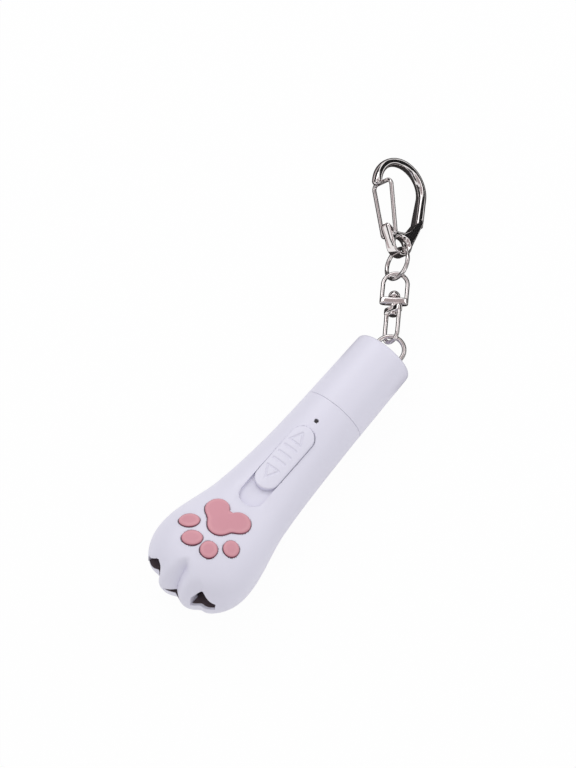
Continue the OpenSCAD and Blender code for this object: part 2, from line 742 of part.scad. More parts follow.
module key_ring() {
    color("silver") translate([ring_x, 0, 0]) wire_ring(ring_r, ring_wire);
}

module swivel_loop() {
    leg = loop_l - loop_w / 2 - crossbar_l / 2;
    color("silver") on_chain(0, loop_roll) union() {
        translate([loop_s + loop_r, 0, 0]) wire_bow(loop_r, link_wire, leg, -1);
        translate([loop_end_s - crossbar_l, 0, 0]) crossbar(loop_w);
    }
}

module swivel_pin() {
    head_s = shackle_s + crossbar_l + ring_slack;
    foot_s = loop_end_s - crossbar_l - foot_h - seat_gap;
    color("silver") on_chain(0, 0) rotate([0, 90, 0]) union() {
        translate([0, 0, foot_s]) cylinder(d = pin_d, h = head_s - foot_s + rivet_collar);
        translate([0, 0, foot_s]) cylinder(r = foot_r, h = foot_h);
        translate([0, 0, head_s]) cylinder(r = rivet_r, h = rivet_collar);
        translate([0, 0, head_s + rivet_collar]) intersection() {
            sphere(r = rivet_r);
            translate([-rivet_r, -rivet_r, 0]) cube(2 * rivet_r);
        }
    }
}

module swivel_shackle() {
    leg = shackle_l - shackle_w / 2 - crossbar_l / 2;
    color("silver") on_chain(0, 0) union() {
        translate([bow_s - shackle_r, 0, 0]) wire_bow(shackle_r, link_wire, leg, 1);
        translate([shackle_s, 0, 0]) crossbar(shackle_w);
    }
}

module jump_ring() {
    color("silver") on_chain(jump_s, jump_roll) wire_ring(jump_r, jump_wire);
}

// Middle line of the hook's arm with its direction: up the back, over the bow and down to the nose
function arm_path() =
    let (back = [bow_x, hook_mid_y - hook_w / 2], tip = [nose_x, hook_mid_y + hook_w / 2],
        rise = back - arm_root, lean = atan2(rise[1], rise[0]))
    concat([for (k = [0:3]) [arm_root + rise * k / 4, lean * (1 - k / 4)]],
        [for (a = [-90:12:90]) [[bow_x + bow_rise * cos(a), hook_mid_y + hook_w / 2 * sin(a)],
            atan2(hook_w / 2 * cos(a), -bow_rise * sin(a))]],
        [[(tip + [bow_x, tip[1]]) / 2, 180], [tip, 180]]);

// Size of the arm along its path: full, then rounded off at the nose
function arm_scale(k, n) = k < n - 2 ? 1 : k == n - 2 ? 1.06 : 0.75;

module hook_arm() {
    path = arm_path();
    n = len(path);
    m = arm_sides;
    points = [for (k = [0:n - 1]) for (i = [0:m - 1])
        let (c = path[k][0], t = path[k][1], s = arm_scale(k, n), a = 360 * i / m,
            w = s * arm_w / 2 * signed_pow(cos(a), 0.8), h = s * arm_t / 2 * signed_pow(sin(a), 0.8))
        [c[0] - w * sin(t), c[1] + w * cos(t), h]];
    sides = [for (k = [0:n - 2]) for (i = [0:m - 1]) let (a = k * m + i, b = k * m + (i + 1) % m)
        each [[a, b + m, b], [a, a + m, b + m]]];
    polyhedron(points, concat(sides, [[for (i = [0:m - 1]) i], [for (i = [0:m - 1]) n * m - 1 - i]]));
}

// Flat base of the hook: a round end with the eye, the stub below the gate and the arm's foot
module hook_base() {
    difference() {
        translate([0, 0, -base_t / 2]) linear_extrude(base_t) difference() {
            hull() {
                circle(r = eye_d / 2 + eye_web, $fn = 32);
                translate(stub) circle(r = stub_r, $fn = 32);
                translate(arm_foot) circle(r = stub_r, $fn = 32);
            }
            translate([mouth_floor + mouth_r, mouth_y]) circle(r = mouth_r);
        }
        rotate_extrude() difference() {
            translate([0, -base_t]) square([eye_d / 2 + eye_flare, 2 * base_t]);
            translate([eye_d / 2 + eye_flare, 0]) circle(r = eye_flare);
        }
        translate([pivot[0], pivot[1], -base_t]) cylinder(d = gate_wire + 2 * pin_fit, h = 2 * base_t);
    }
}

module snap_hook() {
    color("silver") on_chain(eye_s, hook_roll) union() {
        hook_base();
        hook_arm();
    }
}

module hook_gate() {
    reach = gate_tip - pivot;
    leg = norm(reach) - gate_bend;
    half = gate_w / 2;
    color("silver") on_chain(eye_s, hook_roll) translate(pivot) rotate([0, 0, atan2(reach[1], reach[0])])
        union() {
            for (side = [-1, 1]) mirror([0, 0, side < 0 ? 1 : 0]) {
                translate([0, 0, base_t / 2 - pivot_depth])
                    cylinder(d = gate_wire, h = half - base_t / 2 + pivot_depth);
                translate([0, 0, half]) sphere(d = gate_wire);
                translate([0, 0, half]) rotate([0, 90, 0]) cylinder(d = gate_wire, h = leg);
                translate([leg, 0, half - gate_bend]) rotate([90, 0, 0])
                    rotate_extrude(angle = 90) translate([gate_bend, 0]) circle(d = gate_wire);
            }
            translate([leg + gate_bend, 0, gate_bend - half]) cylinder(d = gate_wire, h = gate_w - 2 * gate_bend);
        }
}

upper_shell();
lower_shell();
paw_pads();
slide_knob();
indicator_pipe();
outlet_trim();
emitter_holder();
laser_barrel();
laser_lens();
laser_diode();
white_lamp();
violet_lamp();
circuit_board();
switch_body();
switch_lever();
charge_lamp();
battery();
plug_collar();
plug_shell();
plug_tongue();
plug_contacts();
cap();
key_ring();
swivel_loop();
swivel_pin();
swivel_shackle();
jump_ring();
snap_hook();
hook_gate();
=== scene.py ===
import math

import bmesh
import bpy
import numpy as np
from mathutils import Matrix, Vector


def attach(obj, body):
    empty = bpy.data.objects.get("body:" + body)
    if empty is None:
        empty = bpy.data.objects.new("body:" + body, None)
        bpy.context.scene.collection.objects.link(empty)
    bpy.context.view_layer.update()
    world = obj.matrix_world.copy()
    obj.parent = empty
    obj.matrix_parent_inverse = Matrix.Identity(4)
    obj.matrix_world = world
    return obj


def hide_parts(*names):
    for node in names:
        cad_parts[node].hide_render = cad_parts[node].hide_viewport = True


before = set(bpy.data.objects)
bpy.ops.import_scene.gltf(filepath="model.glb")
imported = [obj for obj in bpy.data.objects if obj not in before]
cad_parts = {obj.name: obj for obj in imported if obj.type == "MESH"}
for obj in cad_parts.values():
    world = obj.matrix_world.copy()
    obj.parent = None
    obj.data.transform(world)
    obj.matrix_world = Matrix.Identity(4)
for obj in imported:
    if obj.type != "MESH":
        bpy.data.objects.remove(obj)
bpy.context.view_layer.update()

# Upper half of the handle. It is moulded in pale lavender plastic with a satin skin, and holds the
# windows of the pads, the pocket of the switch and the upper halves of the light outlets between
# the toes. The two halves snap together along the parting line. Sizes are millimetres.
MM = 0.001
handle_r = 11.0
wrist_u = 42.0
wrist_half = 13.8
wrist_top = 12.0
paw_u = 66.0
paw_half = 18.3
paw_top = 19.0
front_len = 17.0
part_z = 4.4
mid_start_u = 12.0
squareness = 2.2
wall = 1.6
roof = 3.0
front_wall = 5.0
handle_slope = 0.03
wrist_slope = 0.13
top_slope = 0.1


def curve(s, span, a, slope_a, b, slope_b):
    """Cubic that leaves the value a with one slope and reaches b with another, over a span."""
    return ((2 * s**3 - 3 * s**2 + 1) * a + (s**3 - 2 * s**2 + s) * slope_a * span
            + (3 * s**2 - 2 * s**3) * b + (s**3 - s**2) * slope_b * span)


def ease(s):
    """Smooth step: 0 before 0, 1 after 1, three s squared less two s cubed between."""
    k = np.clip(s, 0, 1)
    return k * k * (3 - 2 * k)


def half_width(u):
    """Half width of the handle at a distance u from the cap: two cubics that meet at the wrist."""
    run = paw_u - wrist_u
    near = curve(u / wrist_u, wrist_u, handle_r, handle_slope, wrist_half, wrist_slope)
    far = curve((u - wrist_u) / run, run, wrist_half, wrist_slope, paw_half, 0)
    return np.where(u < wrist_u, near, far)


def top_height(u):
    """Height of the back above the axis: two cubics that meet at the wrist."""
    run = paw_u - wrist_u
    near = curve(u / wrist_u, wrist_u, handle_r, 0, wrist_top, top_slope)
    far = curve((u - wrist_u) / run, run, wrist_top, top_slope, paw_top, 0)
    return np.where(u < wrist_u, near, far)


def mid_height(u):
    """Height of the parting line: it eases up from the axis to the paw."""
    return part_z * ease((u - mid_start_u) / (paw_u - mid_start_u))


def power(u):
    """Power of the section's superellipse: round at the cap, squarer at the paw."""
    return 2 + (squareness - 2) * ease(u / paw_u)


def skin_height(u, y):
    """Height of the smooth back over a place: a superellipse across the handle, closed in front of
    the paw's widest part by a superellipsoid of the same power."""
    near = np.minimum(u, paw_u)
    p = power(near)
    ahead = np.maximum(u - paw_u, 0) / front_len
    k = np.maximum(1 - np.abs(y / half_width(near))**p - ahead**p, 0)
    return mid_height(near) + (top_height(near) - mid_height(near)) * k**(1 / p)


toe_pitch = 9.2
groove_depth = 2.8
lower_groove_y = (-6.0, -2.0, 3.0, 7.0)
lower_groove = (0.45, 0.5, 0.5, 0.95)
lower_undercut = (0.08, 0.38, 0.38, 0.42)
undercut_reach = 8.0
lip_back = 0.5
groove_start = 6.0
side_delay = 4.5
groove_run = 5.0
outer_flank = 5.0
toe_sharpness = 0.5
groove_lean = 1.2


def valley(y, sharpness):
    """How deep a toe groove is at a sideways place: 1 in each of the three grooves and 0 on the
    toes, along rounded arches that come from a power of the sine."""
    inner = np.abs(np.sin(np.pi * y / toe_pitch))
    outer = np.sin(np.pi / 2 * np.clip((np.abs(y) - toe_pitch) / outer_flank, 0, 1))
    return 1 - np.where(np.abs(y) <= toe_pitch, inner, outer)**sharpness


outlet_w = 7.4
outlet_h = 8.6
inner_slope = 1.2
outer_slope = 1.05
mid_outlet_h = 1.6
outlet_y = 10.2
outlet_sides = np.array([-outlet_y, 0, outlet_y])
outlet_shift = 0.2
outlet_fade = 1.8
even_half = 12.5
last_tilt = 0.006


def column_places(step, side_count):
    """Places across the half shell as shares of its half width: even over the back, then closer
    towards the parting line along the superellipse. Each edge of an outlet has a column."""
    back = even_half / paw_half
    count = 2 * round(even_half / step) + 1
    edge = math.acos(back**(squareness / 2))
    angles = np.concatenate([edge * np.arange(side_count - 1, 0, -1) / side_count, [last_tilt, 0]])
    right = np.cos(angles)**(2 / squareness)
    places = np.concatenate([-right[::-1], np.linspace(-back, back, count), right])
    for centre in outlet_sides:
        for side in (-0.5, 0.5):
            target = (centre + side * outlet_w) / paw_half
            places[np.argmin(np.abs(places - target))] = target
    return places


cap_rows = (0, 0.12, 0.3)
even_front = 0.52
least_bend = 0.2
bend_run = 8.0
outlet_run = 4.0
joint_row = 0.985


def half_shell(step, side_count, side, inset, lid, front_inset, groove):
    """One skin of a half shell as a grid of points. Rows run from the cap to the wrist and the
    paw's widest part at an even step, then over the rounded front: first evenly along it, then
    along the superellipse to the outlets' edge and on to the parting line. Grooves pull the front
    in towards the middle of the paw, and those of the lower half go deeper under its lip. The insets
    at the sides, roof and front make the inner skin. The second value is the outlets' edge row."""
    v = column_places(step, side_count)[None, :]
    u = np.concatenate([cap_rows, np.arange(step, paw_u - step / 2, step) + cap_rows[-1], [paw_u]])
    u = np.unique(np.minimum(u, paw_u))[:, None]
    p = power(u)
    k = np.maximum(1 - np.abs(v)**p, 0)**(1 / p)
    rise = top_height(u) - mid_height(u) - lid if side > 0 else mid_height(u) + handle_r - inset
    body = np.stack([-u + 0 * v, (half_width(u) - inset) * v, mid_height(u) + side * rise * k], axis=2)

    k = np.maximum(1 - np.abs(v)**squareness, 0)**(1 / squareness)
    y = (paw_half - inset) * v
    height = paw_top - part_z - lid if side > 0 else part_z + handle_r - inset
    length = front_len - front_inset

    def front(sine):
        """Points of the front for a share of its length, with the grooves cut in."""
        x = length * k * sine
        z = height * k * np.maximum(1 - sine**squareness, 0)**(1 / squareness)
        start = groove_start + side_delay * np.minimum(np.abs(y) / toe_pitch, 1)
        growth = ease((x - start) / groove_run)
        depth = groove
        if side < 0:
            below = z * np.maximum(1 - z / undercut_reach, 0)
            depth = groove + np.interp(y, lower_groove_y, lower_undercut) * below
        cut = depth * valley(y - groove_lean * (1 - growth), toe_sharpness * (1 + growth)) * growth
        keep = 1 - cut / np.maximum(np.hypot(x, z), 1)
        return x * keep, z * keep

    even = np.arange(step, even_front * front_len, step) / front_len
    turn = math.asin(even[-1]**(squareness / 2))
    # The angle at which the skin reaches the outlets' edge is found by halving
    from_groove = np.abs(y) - toe_pitch
    peak = outlet_h - np.where(from_groove < 0, -inner_slope * from_groove, outer_slope * from_groove)
    to_side = ease((np.abs(y) - outlet_w / 2 - outlet_shift) / outlet_fade)
    top = mid_outlet_h + (peak - mid_outlet_h) * to_side
    low = np.full_like(k, turn)
    high = np.full_like(k, math.pi / 2)
    for _ in range(30):
        middle = (low + high) / 2
        above = front(np.sin(middle)**(2 / squareness))[1] > top
        low = np.where(above, middle, low)
        high = np.where(above, high, middle)
    split = np.maximum(low, turn + least_bend)
    bend_rows = round(bend_run / step)
    outlet_rows = round(outlet_run / step)
    to_edge = np.arange(1, bend_rows + 1)[:, None] / bend_rows
    to_joint = np.concatenate([np.arange(1, outlet_rows) / outlet_rows, [joint_row, 1]])[:, None]
    angle = np.concatenate([turn + (split - turn) * to_edge, split + (math.pi / 2 - split) * to_joint])
    sine = np.concatenate([even[:, None] + 0 * v, np.sin(angle)**(2 / squareness)])
    x, z = front(sine)
    tip = np.stack([-paw_u - x, y + 0 * x, part_z + side * z], axis=2)
    return np.concatenate([body, tip]), len(body) + len(even) + bend_rows - 1


def grid_faces(rows, cols, first=0):
    """Quads of a grid of points that are numbered row by row."""
    corner = first + np.arange(rows - 1)[:, None] * cols + np.arange(cols - 1)[None, :]
    return np.stack([corner, corner + 1, corner + cols + 1, corner + cols], axis=2).reshape(-1, 4)


def rim_faces(faces, shift):
    """Quads that join the open edges of one skin to the same edges of a second skin, whose points
    are numbered a shift later. An open edge is one that belongs to a single quad."""
    edges = np.concatenate([faces[:, [0, 1]], faces[:, [1, 2]], faces[:, [2, 3]], faces[:, [3, 0]]])
    key = np.sort(edges, axis=1) @ np.array([1 << 32, 1])
    _, first, count = np.unique(key, return_index=True, return_counts=True)
    open_edges = edges[first[count == 1]]
    return np.stack([open_edges[:, 1], open_edges[:, 0], open_edges[:, 0] + shift,
                     open_edges[:, 1] + shift], axis=1)


def make_piece(name, points, faces, sharp=35):
    """Mesh object from points in millimetres and quads. Poles are merged, faces turned outwards,
    and edges sharper than an angle in degrees stay crisp."""
    weld = 0.0005 * MM
    mesh = bpy.data.meshes.new(name)
    points = np.asarray(points, float).reshape(-1, 3) * MM
    faces = np.asarray(faces).reshape(-1, 4)
    mesh.vertices.add(len(points))
    mesh.vertices.foreach_set("co", points.ravel())
    mesh.loops.add(faces.size)
    mesh.loops.foreach_set("vertex_index", faces.ravel())
    mesh.polygons.add(len(faces))
    mesh.polygons.foreach_set("loop_start", np.arange(0, faces.size, 4))
    mesh.update(calc_edges=True)
    work = bmesh.new()
    work.from_mesh(mesh)
    bmesh.ops.remove_doubles(work, verts=work.verts, dist=weld)
    bmesh.ops.recalc_face_normals(work, faces=work.faces)
    work.to_mesh(mesh)
    work.free()
    mesh.polygons.foreach_set("use_smooth", np.ones(len(mesh.polygons), bool))
    mesh.set_sharp_from_angle(angle=math.radians(sharp))
    piece = bpy.data.objects.new(name, mesh)
    bpy.context.scene.collection.objects.link(piece)
    return piece


palm_u = 53.9
palm_y = 0.5
palm_r = 3.5
# Each lobe of the palm: its place along and across from the middle, and its change of radius
palm_lobes = np.array([[1.3, 4.4, 0.35], [1.5, -4.3, 0.35], [-3.8, -0.5, 0.2],
                       [-0.8, 2.5, -0.1], [-0.8, -2.2, -0.2], [-0.6, 0, 0.1]])
palm_steepness = 0.97
# Each toe pad: its distance from the cap, its place to the side, its splay, length and width
toe_pads = np.array([[62.2, 8.8, 61, 7.07, 5.39], [66.8, 3.8, 59, 7.07, 5.28],
                     [66.7, -3.1, -35, 5.85, 5.83], [61.6, -8.2, -20, 5.78, 5.17]])
pad_gap = 0.14
pad_back = 0.1
lobe_blend = 6.0


def palm_radius(angle):
    """Radius of the palm pad in a direction: the farthest of its round lobes, with the hollows
    between them filled by a high power mean."""
    along = palm_lobes[:, 0] * np.cos(angle)[..., None] + palm_lobes[:, 1] * np.sin(angle)[..., None]
    inside = (palm_r + palm_lobes[:, 2])**2 - palm_lobes[:, 0]**2 - palm_lobes[:, 1]**2 + along**2
    reach = np.where(inside > 0, along + np.sqrt(np.maximum(inside, 0)), 0)
    return np.sum(np.maximum(reach, 0)**lobe_blend, axis=-1)**(1 / lobe_blend)


def pad_distance(x, y):
    """Distance of a place from the nearest pad's outline, negative inside. It is the difference in
    radius for the palm, and for an oval the same divided by the steepness of its radius."""
    least_steep = 0.1
    radius = np.hypot(x + palm_u, y - palm_y)
    nearest = (radius - palm_radius(np.arctan2(y - palm_y, x + palm_u))) * palm_steepness
    for u, side, splay, length, width in toe_pads:
        c, s = math.cos(math.radians(splay)), math.sin(math.radians(splay))
        along = ((x + u) * c - (y - side) * s) / (length / 2)
        across = ((x + u) * s + (y - side) * c) / (width / 2)
        reach = np.hypot(along, across) + 1e-9
        steep = np.hypot(along / (length / 2), across / (width / 2)) / reach
        nearest = np.minimum(nearest, (reach - 1) / np.maximum(steep, least_steep))
    return nearest


knob_l = 25.8
knob_w = 8.6
knob_u = 11.7
slide_travel = 7.5
knob_gap = 0.2
pocket_z = 9.7
pocket_w = knob_w + 2 * knob_gap
pocket_l = knob_l + slide_travel + 2 * knob_gap
pocket_mid = knob_u - knob_gap + pocket_l / 2


def pocket_distance(x, y):
    """Distance of a place from the pocket's round-ended outline, negative inside."""
    along = np.maximum(np.abs(x + pocket_mid) - (pocket_l - pocket_w) / 2, 0)
    return np.hypot(along, y) - pocket_w / 2


indicator_u = 8.2
indicator_r = 0.75


def hole_distance(x, y):
    """Distance of a place from the edge of the indicator's hole, negative inside."""
    return np.hypot(x + indicator_u, y) - indicator_r


def window_distance(x, y):
    """Distance from the nearest edge of a pad window, the pocket or the indicator's hole."""
    nearest = np.minimum(pad_distance(x + pad_back, y) - pad_gap, pocket_distance(x, y))
    return np.minimum(nearest, hole_distance(x, y))


def edge_points(inside):
    """Points of a grid that have a neighbour on the other side of an edge."""
    mixed = np.zeros_like(inside)
    for axis in (0, 1):
        change = np.diff(inside, axis=axis)
        first = [slice(None), slice(None)]
        second = [slice(None), slice(None)]
        first[axis] = slice(0, -1)
        second[axis] = slice(1, None)
        mixed[tuple(first)] |= change
        mixed[tuple(second)] |= change
    return mixed


def open_windows(points):
    """Cuts the windows into the back of the shell. Grid points beside an edge move onto it, along
    the slope of the distance, and those just inside it sink, so the edge is one clean line."""
    ledge = 0.05
    pad_well = 1.7
    hole_well = 1.3
    lip_w = 2.6
    lip_run = 6.0
    lip_depth = 0.65
    back_end = 5.2
    back_share = 0.9
    probe = 0.01
    least_slope = 0.3
    touch = 0.001
    x, y, z = points[..., 0], points[..., 1], points[..., 2]
    back = (x > -paw_u - back_end) & (np.abs(y) < back_share * half_width(np.minimum(-x, paw_u)))
    inside = (window_distance(x, y) < 0) & back
    beside = edge_points(inside) & back
    for _ in range(3):
        wanted = np.where(inside, -ledge, 0)
        off = window_distance(x, y) - wanted
        slope_x = (window_distance(x + probe, y) - window_distance(x - probe, y)) / (2 * probe)
        slope_y = (window_distance(x, y + probe) - window_distance(x, y - probe)) / (2 * probe)
        steep = np.maximum(slope_x**2 + slope_y**2, least_slope)
        x = np.where(beside, x - off * slope_x / steep, x)
        y = np.where(beside, y - off * slope_y / steep, y)
    z = np.where(beside | inside, skin_height(-x, y), z)
    # The pocket's front end has a broad soft lip, where a finger pushes the knob
    to_pocket = pocket_distance(x, y)
    front_end = ease((-x - pocket_mid - pocket_l / 4) / lip_run)
    sink = front_end * lip_depth * np.maximum(1 - np.maximum(to_pocket, 0) / lip_w, 0)**2
    z = np.where((to_pocket >= -touch) & back, z - sink, z)
    in_pocket = inside & (to_pocket < -ledge / 2)
    z = np.where(in_pocket, np.minimum(pocket_z, z), z)
    z = np.where(inside & (pad_distance(x + pad_back, y) < pad_gap - ledge / 2), z - pad_well, z)
    z = np.where(inside & (hole_distance(x, y) < -ledge / 2), z - hole_well, z)
    return np.stack([x, y, z], axis=2)


def lower_grooves(step, side_count):
    """Depth of the grooves in the lower half, by column: shallow under one outer outlet and deeper
    under the other two, where the lower lip draws back."""
    places = column_places(step, side_count) * paw_half
    return groove_depth * np.interp(places, lower_groove_y, lower_groove)[None, :]


def close_shell(name, step, side_count, side):
    """A half shell with its wall: the outer skin, the inner skin and the rims between them. In the
    upper half, quads that lie in an outlet are left out. The outer edges along the joints are broken."""
    edge_break = 0.14
    cap_break = 0.5
    cap_break_inner = 0.1
    groove = groove_depth if side > 0 else lower_grooves(step, side_count)
    set_back = 0 if side > 0 else lip_back
    outer, split = half_shell(step, side_count, side, 0, 0, set_back, groove)
    inner, _ = half_shell(step, side_count, side, wall, roof, front_wall, 0)
    if side > 0:
        outer = open_windows(outer)
    rows, cols = outer.shape[:2]
    spine = np.maximum(outer[..., 0], -paw_u)
    inward = np.stack([spine, 0 * spine, mid_height(-spine)], axis=2) - outer
    inward /= np.linalg.norm(inward, axis=2, keepdims=True) + 1e-9
    inward[:, [0, -1], 2] = 0
    joint = np.zeros((rows, cols, 1))
    joint[0] = cap_break
    joint[1] = cap_break_inner
    joint[-1] = 1
    joint[:, [0, -1]] = 1
    outer = outer + edge_break * joint * inward
    faces = grid_faces(rows, cols)
    row = np.repeat(np.arange(rows - 1), cols - 1)
    places = column_places(step, side_count) * paw_half
    centre = np.tile((places[1:] + places[:-1]) / 2, rows - 1)
    in_outlet = np.min(np.abs(centre[:, None] - outlet_sides[None, :]), axis=1) < outlet_w / 2
    if side > 0:
        faces = faces[~((row >= split) & in_outlet)]
    shift = rows * cols
    points = np.concatenate([outer.reshape(-1, 3), inner.reshape(-1, 3)])
    faces = np.concatenate([faces, faces[:, ::-1] + shift, rim_faces(faces, shift)])
    return make_piece(name, points, faces)


def material(name, colour, roughness, metallic=0.0, grain=900.0, depth=0.05, wander=0.03):
    """Principled material on Object coordinates. A broad noise lets the colour wander by a share, a
    fine one varies the gloss and lifts a grain of that many waves a metre by a share of its height."""
    cloud_waves = 70
    gloss_swing = 0.15
    grain_height = 0.1 * MM
    made = bpy.data.materials.new(name)
    made.use_nodes = True
    nodes, links = made.node_tree.nodes, made.node_tree.links
    shader = nodes["Principled BSDF"]
    place = nodes.new("ShaderNodeTexCoord")
    broad = nodes.new("ShaderNodeTexNoise")
    broad.inputs["Scale"].default_value = cloud_waves
    broad.inputs["Detail"].default_value = 3
    links.new(place.outputs["Object"], broad.inputs["Vector"])
    tint = nodes.new("ShaderNodeMix")
    tint.data_type = "RGBA"
    tint.inputs["A"].default_value = (*[c * (1 - wander) for c in colour], 1)
    tint.inputs["B"].default_value = (*[min(1, c * (1 + wander)) for c in colour], 1)
    links.new(broad.outputs["Fac"], tint.inputs["Factor"])
    links.new(tint.outputs["Result"], shader.inputs["Base Color"])
    fine = nodes.new("ShaderNodeTexNoise")
    fine.inputs["Scale"].default_value = grain
    fine.inputs["Detail"].default_value = 4
    links.new(place.outputs["Object"], fine.inputs["Vector"])
    gloss = nodes.new("ShaderNodeMapRange")
    gloss.inputs["To Min"].default_value = roughness * (1 - gloss_swing)
    gloss.inputs["To Max"].default_value = roughness * (1 + gloss_swing)
    links.new(fine.outputs["Fac"], gloss.inputs["Value"])
    links.new(gloss.outputs["Result"], shader.inputs["Roughness"])
    bump = nodes.new("ShaderNodeBump")
    bump.inputs["Strength"].default_value = depth
    bump.inputs["Distance"].default_value = grain_height
    links.new(fine.outputs["Fac"], bump.inputs["Height"])
    links.new(bump.outputs["Normal"], shader.inputs["Normal"])
    shader.inputs["Metallic"].default_value = metallic
    return made


upper_mesh = (0.3, 18)
body_plastic = material("body_plastic", (0.735, 0.72, 0.83), 0.42, grain=1500, depth=0.06, wander=0.012)
upper = close_shell("upper_shell_skin", *upper_mesh, 1)
upper.data.materials.append(body_plastic)
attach(upper, "pointer")
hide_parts("upper_shell")

# Lower half of the handle, moulded in the same plastic. It carries the board, the battery and the
# light unit, and closes the outlets from below.
lower_mesh = (0.5, 14)
lower = close_shell("lower_shell_skin", *lower_mesh, -1)
lower.data.materials.append(body_plastic)
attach(lower, "pointer")
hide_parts("lower_shell")

# Parts inside the handle and under the cap: the light unit, switch, board, lamps, battery and plug,
# which the two halves hold. Their CAD shapes are right and stay, and each gets its own finish.
inner_finishes = {
    "dark_plastic": (["emitter_holder", "switch_lever"], (0.035, 0.026, 0.024), 0.55, 0.0),
    "smoke_plastic": (["indicator_pipe"], (0.03, 0.028, 0.03), 0.2, 0.0),
    "switch_plastic": (["switch_body"], (0.25, 0.26, 0.28), 0.5, 0.0),
    "barrel_brass": (["laser_barrel"], (0.72, 0.5, 0.22), 0.3, 1.0),
    "contact_brass": (["plug_contacts"], (0.85, 0.62, 0.25), 0.22, 1.0),
    "lens_glass": (["laser_lens"], (0.35, 0.42, 0.5), 0.06, 0.0),
    "diode_steel": (["laser_diode"], (0.6, 0.6, 0.62), 0.35, 1.0),
    "lamp_clear": (["white_lamp"], (0.6, 0.6, 0.55), 0.08, 0.0),
    "lamp_violet": (["violet_lamp"], (0.3, 0.22, 0.5), 0.08, 0.0),
    "lamp_chip": (["charge_lamp"], (0.9, 0.87, 0.7), 0.4, 0.0),
    "board_green": (["circuit_board"], (0.03, 0.22, 0.1), 0.4, 0.0),
    "battery_wrap": (["battery"], (0.5, 0.52, 0.56), 0.35, 0.6),
    "plug_steel": (["plug_shell"], (0.74, 0.74, 0.76), 0.25, 1.0),
    "tongue_plastic": (["plug_tongue"], (0.8, 0.8, 0.8), 0.45, 0.0),
    "neck_plastic": (["plug_collar"], (0.735, 0.72, 0.8), 0.45, 0.0),
}
for slot, (nodes, colour, roughness, metallic) in inner_finishes.items():
    finish = material(slot, colour, roughness, metallic=metallic, grain=1800, depth=0.08, wander=0.06)
    for node in nodes:
        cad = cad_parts[node]
        cad.data.materials.clear()
        cad.data.materials.append(finish)

# Floor of the three outlets: a thin strip that lies on the lower half's rim and ends just behind its
# lip. Its near-black colour is painted shade that stands for the shadow inside the outlets, so they
# look black from above.
floor_edges = (1.0, 0.15, 0.2)
floor_depth = 5.0
floor_side = 0.05
floor_heights = (0.3, 0.06)
floor_rows = 5
floor_cols = 31
lip_line = half_shell(*lower_mesh, -1, 0, 0, lip_back, lower_grooves(*lower_mesh))[0][-1]
floor_half = outlet_w / 2 - floor_side
tray_points = floor_rows * floor_cols
trays = []
tray_faces = []
for i, (centre, floor_edge) in enumerate(zip(outlet_sides, floor_edges)):
    across = np.linspace(centre - floor_half, centre + floor_half, floor_cols)[None, :]
    back = floor_depth * np.linspace(0, 1, floor_rows)[:, None]
    tray = np.interp(across, lip_line[:, 1], lip_line[:, 0]) + floor_edge + back
    for height in floor_heights:
        trays.append(np.stack([tray, across + 0 * back, np.full_like(tray, part_z + height)], axis=2))
    top_faces = grid_faces(floor_rows, floor_cols, 2 * i * tray_points)
    tray_faces += [top_faces, top_faces[:, ::-1] + tray_points, rim_faces(top_faces, tray_points)]
trim = make_piece("outlet_floor", np.stack(trays), np.concatenate(tray_faces))
# Painted shade: near-black colour for the shadow inside the outlets
outlet_painted_shade = material("outlet_painted_shade", (0.07, 0.046, 0.054), 0.5, grain=1800, depth=0.08, wander=0.06)
trim.data.materials.append(outlet_painted_shade)
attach(trim, "pointer")
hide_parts("outlet_trim")

# Palm pad and four toe pads. They are one insert of soft dusty pink plastic that is pushed through
# the windows from inside, so a thin gap runs round each pad. Their pink carries painted light: a
# painted shade turns it dark maroon down the walls, where the gap's shadow falls, and a painted
# highlight lightens a band just inside each outline.
pad_rise = 0.9
pad_wall = 0.3
pad_edge = 1.5
rim_reach = 1.6
# Painted shade and highlight by distance from a pad's outline: dark maroon on the walls for the gap's
# shadow, brightest just inside the rim as a painted highlight, a little darker over the middle
rim_shade_and_highlight = ((0, (0.42, 0.24, 0.3)), (0.1, (0.9, 0.84, 0.87)), (0.4, (1, 1, 1)),
             (1, (0.92, 0.87, 0.9)))
pad_foot = 2.2
pad_rings = np.array([0, 1.0, 1.0, 0.985, 0.96, 0.92, 0.87, 0.81, 0.74,
                      0.66, 0.56, 0.45, 0.33, 0.2, 0.1, 0])
pad_turns = np.radians(np.arange(0, 361, 3))


def pad_points(reach, centre):
    """A pad as rings round its middle, each a share of the outline: a flat foot inside the shell, a
    wall that stands a little out of it, and a crown that follows a quarter of an ellipse from the
    wall inwards and then stays level."""
    ring = pad_rings[:, None, None]
    flat = centre + ring * reach[None]
    depth = (1 - ring[..., 0]) * np.linalg.norm(reach, axis=1)[None]
    crown = np.sqrt(np.maximum(1 - np.maximum(1 - depth / pad_edge, 0)**2, 0))
    z = skin_height(-flat[..., 0], flat[..., 1]) + pad_wall + (pad_rise - pad_wall) * crown
    # The first two rings are the foot's middle and edge: the middle loses the crown, so it is level
    z[:2] -= pad_foot
    z[0] -= pad_rise - pad_wall
    return np.concatenate([flat, z[..., None]], axis=2)


